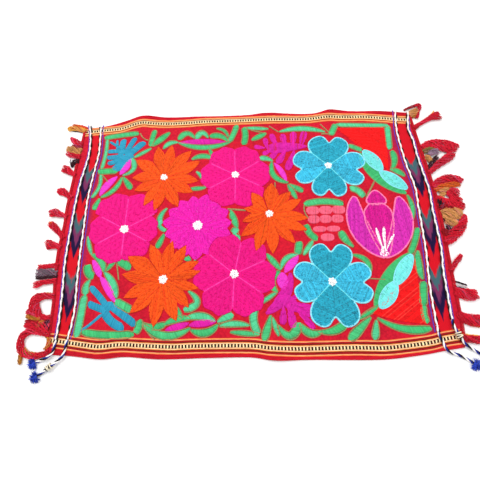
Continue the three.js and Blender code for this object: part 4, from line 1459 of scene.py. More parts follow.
@dataclass(frozen=True)
class Dye:
    """How a lot of yarn is dyed: its colour, a second colour in some of the rows, and how uneven it is."""

    main: Yarn
    second: Yarn | None = None
    share: float = 0.0
    uneven: float = 0.07

    def pick(self, rows: np.ndarray, draw: np.random.Generator) -> np.ndarray:
        """Gives a colour to each stitch.

        Args:
            rows: The row that each stitch is in.
            draw: Where the chances come from.

        Returns:
            A colour for each stitch.
        """
        count = int(rows.max()) + 1 if len(rows) else 0
        row_tint = draw.normal(1, self.uneven, count)[rows] if count else np.ones(0)
        tint = row_tint * draw.normal(1, self.uneven * 0.5, len(rows))
        colours = self.main.rgb[None] * np.clip(tint, 0.7, 1.25)[:, None]
        if self.second is not None:
            chosen = (draw.uniform(0, 1, count) < self.share)[rows]
            colours[chosen] = self.second.rgb * np.clip(tint[chosen], 0.7, 1.25)[:, None]
        return np.clip(colours, 0, 1)


@dataclass
class Needlework:
    """Stitches worked into the cloth, gathered as one joined mesh."""

    seed: int
    tubes: Tubes = field(default_factory=Tubes)
    patches: list[tuple[np.ndarray, np.ndarray]] = field(default_factory=list)
    keep_off: list[np.ndarray] = field(default_factory=list)

    def __post_init__(self) -> None:
        """Starts this piece's own run of chances."""
        self.draw = np.random.default_rng(self.seed)

    def lay(
        self, starts: np.ndarray, ends: np.ndarray, width: float, height: float, colours: np.ndarray,
        tapered: bool = True,
    ) -> None:
        """Lays straight stitches on the cloth.

        Args:
            starts: Where each goes in.
            ends: Where each comes out.
            width: The yarn's width once it lies flat.
            height: How far it stands above the cloth.
            colours: A colour for each stitch.
            tapered: Whether they dip into the cloth at their ends.
        """
        if not len(starts):
            return
        shares = np.array([0.0, 0.14, 0.86, 1.0] if tapered else [0.0, 1.0])
        flat = starts[:, None, :] + (ends - starts)[:, None, :] * shares[None, :, None]
        base = CLOTH_THICK - BED + CLOTH.lift(flat[..., 0], flat[..., 1])
        path = np.concatenate([flat, base[..., None]], axis=-1)
        each = self.draw.uniform(0.88, 1.12, (len(starts), 1))
        rise = (height + BED) * each * np.array([[0.5, 1.0, 1.0, 0.5] if tapered else [1.0, 1.0]])
        taper = np.array([[0.7, 1.0, 1.0, 0.7] if tapered else [1.0, 1.0]])
        wide = width * self.draw.uniform(0.9, 1.1, (len(starts), 1)) * taper
        section = STITCH_SECTION.T
        profile = np.stack([wide[..., None] * section[0], rise[..., None] * section[1]], axis=-1)
        self.tubes.add(framed_rings(path, profile), colours)

    def rows_in(
        self, outline: np.ndarray, heading: float, pitch: float = PITCH, length: float = STITCH_LENGTH,
    ) -> tuple[np.ndarray, np.ndarray, np.ndarray]:
        """Cuts rows of stitches to fit inside an outline.

        Args:
            outline: The closed outline.
            heading: The way the rows run, in degrees.
            pitch: From one row to the next.
            length: The longest stitch.

        Returns:
            Where the stitches start and end, and the row each is in.
        """
        axes = turned_axes(heading)
        here = outline @ axes.T
        after = np.roll(here, -1, axis=0)
        low, high = here[:, 1].min(), here[:, 1].max()
        count = max(1, int(round((high - low) / pitch)))
        levels = low + (np.arange(count) + 0.5) * (high - low) / count
        starts, ends, rows = [], [], []
        for row, level in enumerate(levels):
            crossed = (here[:, 1] <= level) != (after[:, 1] <= level)
            a, b = here[crossed], after[crossed]
            cuts = np.sort(a[:, 0] + (level - a[:, 1]) / (b[:, 1] - a[:, 1]) * (b[:, 0] - a[:, 0]))
            for x0, x1 in zip(cuts[::2], cuts[1::2]):
                if x1 - x0 < 0.6:
                    continue
                first = x0 + length * self.draw.uniform(0.35, 1.0)
                marks = [x0, *np.arange(first, x1 - 1.5, length), x1]
                for left, right in zip(marks[:-1], marks[1:]):
                    starts.append((left - 0.1, level))
                    ends.append((right + 0.1, level))
                    rows.append(row)
        if not starts:
            return np.empty((0, 2)), np.empty((0, 2)), np.empty(0, int)
        return np.array(starts) @ axes, np.array(ends) @ axes, np.array(rows)

    def fill(
        self, outline: np.ndarray, heading: float, dye: Dye, height: float,
        pitch: float = PITCH, length: float = STITCH_LENGTH, speck: Yarn | None = None, specks: float = 0.0,
    ) -> None:
        """Fills an outline with rows of stitches.

        Args:
            outline: The closed outline.
            heading: The way the rows run, in degrees.
            dye: The yarn's dye.
            height: How far the stitches stand above the cloth.
            pitch: From one row to the next.
            length: The longest stitch.
            speck: The yarn of the small dark marks, if it has any.
            specks: How many marks for each stitch.
        """
        outline = np.asarray(outline, float)
        starts, ends, rows = self.clear(*self.rows_in(outline, heading, pitch, length))
        if not len(starts):
            return
        self.lay(starts, ends, pitch * 1.22, height, dye.pick(rows, self.draw))
        self.patches.append((outline, dye.main.rgb))
        count = int(len(starts) * specks)
        if speck is None or not count:
            return
        pick = self.draw.integers(0, len(starts), count)
        run = (ends - starts)[pick]
        run /= np.linalg.norm(run, axis=1, keepdims=True)
        spot = starts[pick] + (ends - starts)[pick] * self.draw.uniform(0.08, 0.92, (count, 1))
        half = self.draw.uniform(0.3, 0.6, (count, 1))
        colours = speck.rgb[None] * self.draw.uniform(0.75, 1.3, (count, 1))
        self.lay(spot - run * half, spot + run * half, 0.55, height * 1.16, np.clip(colours, 0, 1), False)

    def put(
        self, starts: np.ndarray, ends: np.ndarray, width: float, height: float, dye: Dye,
        tapered: bool = True,
    ) -> None:
        """Lays stitches, each a row of its own, cut back to where nothing lies over them.

        Args:
            starts: Where each goes in.
            ends: Where each comes out.
            width: The yarn's width once it lies flat.
            height: How far it stands above the cloth.
            dye: The yarn's dye.
            tapered: Whether they dip into the cloth at their ends.
        """
        starts, ends, rows = self.clear(starts, ends, np.arange(len(starts)))
        if len(starts):
            self.lay(starts, ends, width, height, dye.pick(rows, self.draw), tapered)

    def clear(
        self, starts: np.ndarray, ends: np.ndarray, rows: np.ndarray,
    ) -> tuple[np.ndarray, np.ndarray, np.ndarray]:
        """Cuts stitches back to where nothing lies over them.

        Args:
            starts: Where each goes in.
            ends: Where each comes out.
            rows: The row each is in.

        Returns:
            The same three, for the stitches that are left.
        """
        if not self.keep_off or not len(starts):
            return starts, ends, rows
        shares = np.linspace(0, 1, 13)
        dots = starts[:, None, :] + (ends - starts)[:, None, :] * shares[None, :, None]
        free = ~inside_any(dots.reshape(-1, 2), self.keep_off).reshape(dots.shape[:2])
        kept = []
        for number in np.flatnonzero(free.any(axis=1)):
            runs = np.flatnonzero(np.diff(np.concatenate([[0], free[number].astype(int), [0]])))
            sizes = runs[1::2] - runs[::2]
            best = int(np.argmax(sizes))
            if sizes[best] >= 2:
                kept.append((number, runs[2 * best], runs[2 * best + 1] - 1))
        if not kept:
            return np.empty((0, 2)), np.empty((0, 2)), np.empty(0, int)
        number, first, last = np.array(kept).T
        return dots[number, first], dots[number, last], rows[number]

    def trace(self, line: np.ndarray, yarn: Yarn, width: float, height: float, step: float = 3.4) -> None:
        """Works a line of short stitches end to end.

        Args:
            line: The line.
            yarn: Its yarn.
            width: The yarn's width.
            height: How far it stands above the cloth.
            step: The length of a stitch.
        """
        line = np.asarray(line, float)
        total = lengths_along(line)[-1]
        count = max(1, int(round(total / step)))
        marks = at_shares(line, np.linspace(0, 1, count + 1))
        run = np.diff(marks, axis=0)
        run /= np.linalg.norm(run, axis=1, keepdims=True) + 1e-9
        self.put(marks[:-1] - run * 0.2, marks[1:] + run * 0.2, width, height, Dye(yarn, uneven=0.05), False)

    def build(self, name: str, material: Material) -> Object:
        """Makes the joined mesh and lets it ride on the mat.

        Args:
            name: The piece's name.
            material: Its finish.

        Returns:
            The piece.
        """
        return place(self.tubes.build(name, material), "ground_cloth")


class Flower(Enum):
    """The kinds of embroidered flower."""

    ROUND = "round"
    DAISY = "daisy"
    DAHLIA = "dahlia"
    HEART = "heart"


# Each flower: its middle, its kind, the size of its white middle, how deep its petals are parted, and
# its petals as bearing and reach
FLOWERS = [
    ((-139.8, -2), Flower.ROUND, 5.3, 0.15, [
        (0, 38), (58, 47), (120, 48), (180, 40.5), (240, 42), (300, 40),
    ]),
    ((-12.6, 64), Flower.ROUND, 4.8, 0.17, [
        (2, 41), (62, 41.5), (120, 42), (180, 41.5), (238, 43), (300, 44),
    ]),
    ((-15, -58), Flower.ROUND, 5, 0.22, [(100, 45), (55, 45), (-8, 44), (-65, 46), (-122, 46), (180, 44)]),
    ((-56, -0.4), Flower.DAISY, 6, 0.15, [(4 + 24 * k, 38.5 + (k % 4) * 0.8) for k in range(15)]),
    ((-98.4, 64), Flower.DAHLIA, 4.4, 0.0, [
        (23, 48), (52, 48.6), (80, 47), (107, 46), (141, 45), (174, 39), (209, 38.6), (238, 43),
        (263, 44.7), (292, 44), (325, 41.6), (355, 42),
    ]),
    ((-91.6, -62), Flower.DAHLIA, 5, 0.0, [
        (8, 41), (30, 43), (57, 45), (84, 45), (109, 44), (143, 49), (174, 46), (203, 45), (231, 48),
        (259, 50), (287, 47), (317, 42), (343, 40),
    ]),
    ((25.6, 11.4), Flower.DAHLIA, 4.6, 0.0, [
        (-6, 44), (21, 41), (50, 38), (82, 40), (130, 34), (160, 30), (190, 32), (222, 42), (248, 47),
        (276, 48), (303, 45), (329, 46),
    ]),
    ((98.4, 72.2), Flower.HEART, 4.4, 0.0, [(82, 43), (186, 42), (266, 42), (-12, 44)]),
    ((87.6, -69), Flower.HEART, 4.6, 0.0, [(86, 43.5), (179, 41), (-91, 48), (-3, 42.5)]),
]
FLOWER_RISE = 0.9
LEAF_RISE = 0.7


@dataclass
class EmbroideredFlower:
    """One embroidered flower: its petals, their seams and its white knotted middle."""

    middle: tuple[float, float]
    kind: Flower
    core: float
    parted: float
    petals: list[tuple[float, float]]
    seed: int

    def build(
        self, name: str, finish: Material, knots: Material, keep_off: list[np.ndarray],
    ) -> Needlework:
        """Makes the flower.

        Args:
            name: The piece's name.
            finish: The finish of its petals.
            knots: The finish of its white knots.
            keep_off: Outlines of the petals that lie over it.

        Returns:
            The needlework, for the traces on the underside.
        """
        work = Needlework(self.seed, keep_off=keep_off)
        {
            Flower.ROUND: self.round_petals, Flower.DAISY: self.daisy_petals,
            Flower.DAHLIA: self.dahlia_petals, Flower.HEART: self.heart_petals,
        }[self.kind](work)
        work.build(name, finish)
        self.knots(name, knots)
        return work

    def ray(self, bearing: np.ndarray | float, reach: np.ndarray | float) -> np.ndarray:
        """Points at bearings in degrees and distances from the flower's middle.

        Args:
            bearing: Each point's bearing.
            reach: Its distance.

        Returns:
            An x and y for each.
        """
        angle = np.radians(bearing)
        return np.stack([
            self.middle[0] + reach * np.cos(angle), self.middle[1] + reach * np.sin(angle),
        ], axis=-1)

    def gaps(self) -> list[tuple[float, float, float, float]]:
        """Each petal's bearing and reach, and the bearings half way to its neighbours.

        Returns:
            Four numbers for each petal, in order of bearing.
        """
        ordered = sorted((bearing % 360, reach) for bearing, reach in self.petals)
        found = []
        for number, (bearing, reach) in enumerate(ordered):
            before = ordered[number - 1][0] - (360 if number == 0 else 0)
            after = ordered[(number + 1) % len(ordered)][0] + (360 if number + 1 == len(ordered) else 0)
            found.append((bearing, reach, (before + bearing) / 2, (after + bearing) / 2))
        return found

    def wedge(
        self, petal: tuple[float, float, float, float], shape: Callable[[np.ndarray], np.ndarray],
    ) -> np.ndarray:
        """Outlines a petal that fills its share of the flower.

        Args:
            petal: Bearing, reach, and the bearings of its two sides.
            shape: Gives the share of the reach at each place from -1 to 1 across the petal.

        Returns:
            The closed outline.
        """
        bearing, reach, low, high = petal
        across = np.linspace(-1, 1, 41)
        angle = np.where(across < 0, bearing + across * (bearing - low), bearing + across * (high - bearing))
        return np.vstack([self.ray(bearing, 0.5), self.ray(angle, reach * shape(across))])

    def round_petals(self, work: Needlework) -> None:
        """Works the pink petals, smooth and broad, with pale seams between them.

        Args:
            work: The needlework they join.
        """
        petals = self.gaps()
        for petal in petals:
            shape = self.wedge(petal, self.pink_reach)
            work.fill(shape, petal[0], Dye(Yarn.PINK, uneven=0.035), FLOWER_RISE, length=10)
        for _, reach, low, _ in petals:
            for turn in (-0.8, 0.8):
                line = self.ray(np.array([low + turn * 2, low + turn]), np.array([self.core, reach * 0.8]))
                work.trace(line, Yarn.PINK_SEAM, 0.9, FLOWER_RISE * 1.05, 7)

    def pink_reach(self, across: np.ndarray) -> np.ndarray:
        """Gives the share of a pink petal's reach at each place across it."""
        return 1 - self.parted * np.abs(across) ** 4 - 0.02 * np.cos(9 * across)

    def daisy_petals(self, work: Needlework) -> None:
        """Works the magenta petals, narrow and pointed.

        Args:
            work: The needlework they join.
        """
        for petal in self.gaps():
            shape = self.wedge(petal, lambda across: 1 - self.parted * np.abs(across) ** 1.2)
            dye = Dye(Yarn.MAGENTA, Yarn.MAGENTA_DEEP, 0.15, 0.05)
            work.fill(shape, petal[0] + 12, dye, FLOWER_RISE, length=8, speck=Yarn.MAGENTA_PALE, specks=0.3)

    def dahlia_petals(self, work: Needlework) -> None:
        """Works the orange petals, each with its own pointed tip and a line of painted shade along one side.

        Args:
            work: The needlework they join.
        """
        for number, (bearing, _, _, _) in enumerate(self.gaps()):
            shape = self.dahlia_petal(number)
            dye = Dye(Yarn.ORANGE, Yarn.ORANGE_DEEP, 0.15, 0.09)
            work.fill(shape, bearing + (8 if number % 2 else -6), dye, FLOWER_RISE, 0.8, 7,
                      Yarn.ORANGE_DARK, 0.3)
            # The dark orange line down one side of each petal is painted shade in the seam between petals;
            # the dark specks above are the yarn's own
            work.trace(shape[2:19], Yarn.ORANGE_DARK, 0.5, FLOWER_RISE * 1.03, 4)

    def dahlia_petal(self, number: int) -> np.ndarray:
        """Outlines one pointed petal.

        Args:
            number: Which petal, counted from the one with the least bearing.

        Returns:
            The closed outline.
        """
        bearing, reach, low, high = self.gaps()[number]
        along = np.concatenate([np.linspace(0.04, 0.58, 8), np.linspace(0.62, 1, 12)])
        spread = math.tan(math.radians((high - low) / 2)) * 1.04
        past = np.clip((along - 0.58) / 0.42, 0, 1)
        width = np.where(along <= 0.58, along * reach * spread, 0.58 * reach * spread * (1 - past ** 1.9))
        lean = (3.0, -2.4, 1.2, -3.4, 2.6)[number % 5] * along ** 3
        local = np.vstack([
            np.column_stack([along * reach, lean + width]),
            np.column_stack([along * reach, lean - width])[::-1],
        ])
        return local @ turned_axes(bearing) + np.array(self.middle)

    def outlines(self) -> list[np.ndarray]:
        """The outline of each petal, a little full, for what has to keep off this flower.

        Returns:
            The closed outlines.
        """
        if self.kind is Flower.DAHLIA:
            return [self.dahlia_petal(number) for number in range(len(self.petals))]
        if self.kind is Flower.HEART:
            return [self.wedge(petal, self.heart_reach(petal)) for petal in self.gaps()]
        return [self.wedge(petal, self.pink_reach) for petal in self.gaps()]

    @staticmethod
    def heart_reach(petal: tuple[float, float, float, float]) -> Callable[[np.ndarray], np.ndarray]:
        """Gives the share of a heart's reach at each place across it."""
        half = (petal[3] - petal[2]) / 2
        return lambda across: 1 - 0.25 * np.exp(-((across * half / 8) ** 2)) - 0.4 * np.abs(across) ** 5

    def heart_petals(self, work: Needlework) -> None:
        """Works the turquoise hearts, their pale outlines and the lines between them, with a painted sheen on
        the side petals.

        Args:
            work: The needlework they join.
        """
        petals = self.gaps()
        outlines = []
        for petal in petals:
            bearing = petal[0]
            outline = self.wedge(petal, self.heart_reach(petal))
            outlines.append(outline)
            for sign in (-1, 1):
                part = outline[1:][::sign][:21]
                lobe = np.vstack([self.ray(bearing, 0.5), part])
                # The left and right petals take a paler turquoise than the top and bottom ones: painted sheen
                # where their stitches catch the light
                upright = abs(math.sin(math.radians(bearing))) > 0.7
                dye = Dye(Yarn.TURQUOISE if upright else Yarn.TURQUOISE_SHEEN, uneven=0.1)
                work.fill(lobe, bearing + 90 - sign * 25, dye, FLOWER_RISE, 0.82, 6, Yarn.TEAL_DARK, 0.6)
        for outline, petal in zip(outlines, petals):
            work.trace(outline[1:], Yarn.PALE_CYAN, 2.1, FLOWER_RISE * 1.08, 2.2)
            bearing, reach, low, _ = petal
            line = self.ray(np.array([low, low]), np.array([self.core - 1, reach * 0.62]))
            work.trace(line, Yarn.CYAN, 1.5, FLOWER_RISE * 1.14, 2.6)

    def knots(self, name: str, finish: Material) -> None:
        """Sets white knots in the flower's middle.

        Args:
            name: The flower's name.
            finish: Their finish.
        """
        draw = np.random.default_rng(self.seed + 400)
        count = int(self.core ** 2 * 1.25)
        number = np.arange(count)
        reach = self.core * 0.92 * np.sqrt((number + 0.5) / count)
        angle = number * EVEN_TURN + self.seed
        x = self.middle[0] + reach * np.cos(angle)
        y = self.middle[1] + reach * np.sin(angle)
        low = CLOTH_THICK + CLOTH.lift(x, y) + 0.2
        dome = 1.5 + 0.8 * (1 - (reach / self.core) ** 2)
        t = np.linspace(0, 1, 5)
        path = np.stack([
            np.repeat(x[:, None], 5, axis=1), np.repeat(y[:, None], 5, axis=1),
            low[:, None] + dome[:, None] * t[None, :],
        ], axis=-1)
        size = draw.uniform(0.74, 0.92, (count, 1)) * np.array([[0.9, 1.0, 1.0, 0.85, 0.45]])
        tubes = Tubes()
        tubes.add(framed_rings(path, round_profile(size, 8)), np.tile(Yarn.WHITE.rgb, (count, 1)))
        place(tubes.build(f"{name}_knots", finish), "ground_cloth")


class LeafShape(Enum):
    """How a leaf's width changes from root to tip."""

    LENS = "lens"
    BAR = "bar"
    FAT_TIP = "fat_tip"
    FAT_ROOT = "fat_root"

    def width(self, t: np.ndarray) -> np.ndarray:
        """The share of the full width at each share of the length.

        Args:
            t: Shares of the length, from root to tip.

        Returns:
            A share of the full width for each.
        """
        if self is LeafShape.LENS:
            return np.maximum(np.sin(np.pi * t), 0) ** 0.62
        if self is LeafShape.BAR:
            return np.clip(np.minimum(t * 6, (1 - t) * 6) + 0.45, 0, 1)
        if self is LeafShape.FAT_TIP:
            return np.minimum(np.clip(t * 1.6, 0, 1) ** 0.6, np.sqrt(np.clip((1.03 - t) * 5, 0, 1)))
        return np.minimum(np.clip((1 - t) * 1.6, 0, 1) ** 0.6, np.sqrt(np.clip((t + 0.03) * 5, 0, 1)))


# Leaves, shape by shape, and stems: root x and y, tip x and y, width, and how far the middle bends left
LEAVES = {
    "bar": [
        (-179, 125, -135, 130, 6, 1), (-175, 123, -177, 79, 3.5, 1.5), (-181, 75.5, -157, 76, 7, 0),
        (-177, 71, -184, 40, 3.4, 4), (-118, 110, -114, 134, 5.5, 1), (-20, 112, -10, 137, 6, -1),
        (-1, 133, -2, 107, 6.5, 2), (106, 116, 114, 132, 6.5, 0), (114, 131, 178, 127, 5, 0),
        (126, 100, 141, 92, 5, 0), (177, 127, 174, 92, 6, 0), (187, -11, 173, -41, 5.5, 1),
        (120, 41, 134, 29, 7, 3), (66, -3, 77, -21, 6.5, -3), (57, -23, 54, -38, 7, 0),
        (181, -71, 176, -96, 6.5, 0), (177, -96, 177, -113, 5, -2), (7, -92, 9, -121, 7, -4),
        (-69, -41, -53, -44, 7.5, 6), (-11, -5, -8, -18, 7.5, -6), (-176, -43, -168, -57, 8, -3),
        (-175, -77, -177, -120, 7, 0), (-172, -115, -118, -118, 6.5, -2), (-117, -117, -114, -104, 6.5, -2),
        (-143, -39, -128, -48, 8, 0), (-141, -84, -123, -94, 7.5, 0),
    ],
    "fat_tip": [
        (-174, 39, -179, 24, 6.5, 0.5), (-150, 69, -141, 93, 5.5, -9), (-149, 67, -137, 50, 6, 0),
        (-92, 23, -92, -6, 6.5, -8), (-93, -8, -101, -26, 5.5, 0), (50, 49, 66, 39, 5.5, 0),
        (128, -107, 179, -118, 7, -6), (122, -106, 98, -128, 8, 0), (127, -109, 123, -128, 6.5, 0),
        (22, -102, 14, -127, 7, 0), (-33, -108, -17, -100, 7.5, 0), (-110, -107, -86, -108, 6, -4),
        (-171, -60, -173, -76, 7, -3),
    ],
    "lens": [
        (-173, 40, -150, 67, 5, -5), (-138, 94, -117, 107, 4, 0), (-117, 110, -95, 130, 7.5, 0),
        (-102, 105, -84, 114, 5.5, 4), (-36, 133, -21, 119, 3.2, 4), (-18, 112, -84, 114, 6, 8),
        (-45, 105, -39, 88, 3.2, 0), (-66, 88, -38, 87, 6, 5), (-60, 71, -48, 48, 4.2, 3),
        (-68, 47, -48, 48, 4.4, 0), (0, 132, 30, 129, 4.4, 0), (8, 113, 27, 123, 6, 0),
        (43, 124, 100, 121, 6.5, 5), (32, 81, 50, 51, 5.5, -9), (49, 49, 58, 29, 5, 0),
        (170, 64, 185, 54, 6, 2), (183, 30, 182, -3, 4.2, 3.5), (72, -22, 60, -39, 5, 0),
        (20, -36, 35, -55, 5.5, 0), (54, -38, 35, -54, 5, -5), (34, -56, 30, -79, 7, -8),
        (30, -78, 10, -91, 3.6, 0), (112, -40, 124, -66, 5, 10), (182, -37, 181, -69, 7, -2),
        (132, -95, 110, -108, 4, 0), (72, -119, 51, -111, 7, 6), (23, -104, 29, -123, 4, 0),
        (10, -121, -20, -118, 4.5, 0), (-31, -112, 0, -112, 5.5, 2), (-88, -110, -60, -104, 6, 3),
        (-66, -104, -35, -107, 7, 4), (-69, -104, -79, -89, 4.5, 0), (-110, -108, -60, -113, 7, -10),
        (-60, -115, -32, -110, 7, -6), (-19, 18, -11, -5, 6.5, 0), (-181, -9, -173, -32, 3.6, -1),
        (-174, -31, -157, -52, 6.5, 4), (-157, -52, -140, -81, 7, 3), (-155, -51, -143, -33, 4.2, 0),
    ],
    "fat_root": [
        (-83, 118, -63, 119, 7, 9), (-61, 118, -46, 119, 7, 9), (-44, 121, -21, 112, 7, 5),
        (17, 86, 33, 81, 6, 2), (176, 90, 170, 62, 6.5, 4), (103, -12, 115, -31, 7.5, -2),
        (97, -111, 68, -119, 7.5, 4), (50, -110, 28, -112, 8, 12), (-68, -95, -64, -75, 7, -12),
    ],
}
STEMS = [
    (-175, 71, -166, 60, 1.4, 0), (-133, 130, -122, 119, 1.8, -2), (8, 128, 27, 122, 1.7, 0),
    (31, 133, 42, 124, 1.7, 0), (95, 133, 106, 118, 1.7, 0), (34, 52, 34, 35, 1.4, 0),
    (150, 50, 137, 28, 2.4, 0), (122, -66, 142, -68, 1.7, 0), (-144, -43, -140, -61, 1.8, 0),
    (-26, 20, -1, 17, 2.6, 0), (95, 118, 106, 117, 2.2, 1), (-110, -106, -96, -124, 1.4, -2),
    (-32, -109, -24, -114, 1.4, 0), (110, -106, 128, -96, 1.4, 0),
]

# Buds of one bold colour, yarn by yarn: from, to, width, and how far the middle bends
BUDS = {
    "LILAC": [
        (-153, 70, -142, 93, 9.5, -1), (-174, 42, -156, 68, 9.5, 2.5), (34, 79, 48, 53, 7, 1.5),
        (54, -38, 39, -58, 9.5, 0), (-172, -38, -160, -58, 8.5, 1), (-161, -57, -141, -85, 9, 1),
    ],
    "FAN": [
        (-84, 113, -24, 112, 8.5, 1.5), (-86, -115, -62, -108, 7.5, -0.5), (-62, -111, -34, -107, 8.5, 0.5),
    ],
    "BLUE": [
        (-155, 97, -154, 122, 8, 0), (-150, 100, -139, 124, 7, 0), (-148, 96, -127, 117, 9, 0),
        (-152, 106, -171, 119, 3.4, 0), (-149, 103, -173, 104, 6, -1), (-150, 97, -172, 95, 7, 0),
        (-146, 98, -170, 86, 7, 1), (-142, 99, -160, 76, 13, 0), (-160, 104, -162, 121, 3.4, 0),
        (-170, -68, -146, -94, 6.8, 1), (-170, -86, -150, -94, 7.5, 0), (-149, -86, -117, -109, 8, 0),
        (-152, -94, -129, -112, 9, -3), (-150, -95, -166, -109, 2.4, 0), (-154, -97, -174, -114, 3, 1),
    ],
}

# Fan bodies: root x and y, tip x and y, width, middle's bend, shape, heading of its rows, yarns, share
FAN_BODIES = [
    (26, 99, 77, 101, 15, 1, "fat_root", 88, "FAN", "RED_STREAK", 0.06),
    (33, -81, 51, -99, 13, 0, "lens", 60, "FAN", None, 0),
    (45, -57, 16, -101, 12, 7, "lens", 48, "FAN", None, 0),
    (36, -57, 36, -76, 12, 0, "lens", 60, "LILAC", None, 0),
]
# Red patches: three corners, how far each side bows outwards from one corner to the next, and heading
PATCHES = [
    ([(114, 126), (172, 125.5), (168, 63)], (0, 1.5, 0), -38),
    ([(178, -46), (175, -114), (124, -103)], (-1, 2, -1.5), 35),
]
FAN_STROKES = [
    (28, 98, 25, 116, 6), (40, 100, 33, 122, 7), (50, 99, 47, 121, 7.5), (59, 98, 61, 124, 8),
    (68, 98, 75, 124, 8), (25, 101, 11, 104, 5.5), (31, 98, 21, 92, 6), (40, 97, 30, 86, 7),
    (49, 97, 38, 78, 8), (60, 97, 49, 68, 8.5), (35, -92, 33, -112, 7), (40, -90, 44, -116, 8),
    (47, -96, 65, -117, 6), (46, -94, 64, -104, 6), (44, -90, 66, -97, 5.5), (43, -86, 56, -82, 6),
]
# Basket: rows of oval cushions, each row's middle y, first x and last x, count, width and height
BASKET = [
    (14, 75, 104, 3, 14.5, 10.5), (3, 75, 101.5, 3, 13, 10), (-9, 80.5, 95.5, 2, 14.5, 7),
    (-19, 88, 88, 1, 14.5, 9),
]
# Aqua buds: two lobes and a green sheath, each root x and y, tip x and y, width and bend, and the heading
AQUA_BUDS = {
    "far": (
        [(142, 92, 160, 61, 15.5, 1), (157, 62, 185, 37, 15, 0)], (137, 90, 184, 31, 16, -7.5), -55,
    ),
    "near": (
        [(175, -41, 151, -75, 14, 0), (153, -70, 132, -98, 15, 1)], (175, -39, 127, -97, 14, -4.5), 55,
    ),
}
# Tulip: root x and y, tip x and y, width, bend, shape, heading of its rows, and its yarn
TULIP = [
    (147.5, 18, 147.5, 37, 22, 0, "fat_root", 90, "TULIP"),
    (148, -44, 124, 31, 22, 12, "lens", 84, "TULIP_LIGHT"),
    (145, -44, 172, 29, 23, -12, "lens", 96, "TULIP_LIGHT"),
    (148, -44, 146.5, 21, 31, 0, "fat_tip", 90, "TULIP"),
]


def bent_line(x0: float, y0: float, x1: float, y1: float, bend: float, count: int = 24) -> np.ndarray:
    """A line from one point to another whose middle bends to the left.

    Args:
        x0: Where it starts, across the mat.
        y0: Where it starts, up the mat.
        x1: Where it ends, across the mat.
        y1: Where it ends, up the mat.
        bend: How far its middle moves to the left.
        count: How many points it has.

    Returns:
        The points of the line.
    """
    start, end = np.array([x0, y0], float), np.array([x1, y1], float)
    run = (end - start) / np.linalg.norm(end - start)
    hinge = (start + end) / 2 + np.array([-run[1], run[0]]) * bend * 2
    t = np.linspace(0, 1, count)[:, None]
    return (1 - t) ** 2 * start + 2 * t * (1 - t) * hinge + t ** 2 * end


@dataclass
class EmbroideredLeaves:
    """The green leaves and stems between the flowers, each with a drab outline."""

    keep_off: list[np.ndarray]
    seed: int = 31
    slant: float = 0.35

    def build(self, finish: Material) -> Needlework:
        """Makes the leaves.

        Args:
            finish: Their finish.

        Returns:
            The needlework, for the traces on the underside.
        """
        work = Needlework(self.seed, keep_off=self.keep_off)
        greens = [Yarn.GREEN, Yarn.MINT, Yarn.GREEN_DEEP]
        for shape, rows in LEAVES.items():
            for number, (x0, y0, x1, y1, width, bend) in enumerate(rows):
                line = bent_line(x0, y0, x1, y1, bend, 40)
                dye = Dye(greens[(number * 7 + number // 3) % 3], uneven=0.08)
                self.blade(work, line, width, LeafShape(shape), dye, Yarn.TAN)
        for x0, y0, x1, y1, width, bend in STEMS:
            work.trace(bent_line(x0, y0, x1, y1, bend), Yarn.TAN, width, LEAF_RISE, 3)
        work.build("embroidered_leaves", finish)
        return work

    def blade(
        self, work: Needlework, line: np.ndarray, width: float, shape: LeafShape, dye: Dye,
        outline: Yarn | None, height: float = LEAF_RISE, speck: Yarn | None = None,
    ) -> None:
        """Works one blade with stitches across it, and its outline.

        Args:
            work: The needlework it joins.
            line: Its middle line from root to tip.
            width: Its full width.
            shape: How its width changes.
            dye: Its yarn's dye.
            outline: The yarn of its outline, if it has one.
            height: How far it stands above the cloth.
            speck: The yarn of its dark marks, if it has any.
        """
        total = lengths_along(line)[-1]
        count = max(3, int(total / PITCH))
        t = (np.arange(count) + 0.5) / count
        middle = at_shares(line, t)
        run, across = directions(middle)
        half = width / 2 * shape.width(t)[:, None]
        lean = run * half * self.slant
        left, right = middle + across * half, middle - across * half
        work.put(left - lean, right + lean, PITCH * 1.25, height, dye)
        outer = np.vstack([left, right[::-1]])
        work.patches.append((outer, dye.main.rgb))
        if speck is not None:
            spots = middle + across * half * work.draw.uniform(-0.8, 0.8, (count, 1))
            chosen = work.draw.uniform(0, 1, count) < 0.5
            ends = spots[chosen] + across[chosen] * 0.7
            tint = np.tile(speck.rgb, (int(chosen.sum()), 1))
            work.lay(spots[chosen], ends, 0.5, height * 1.16, tint, False)
        if outline is not None and width >= 3:
            for sign in (1, -1):
                edge = middle + across * sign * (half + 0.55)
                work.trace(edge, outline, 1.3, height * 1.05, 3.2)


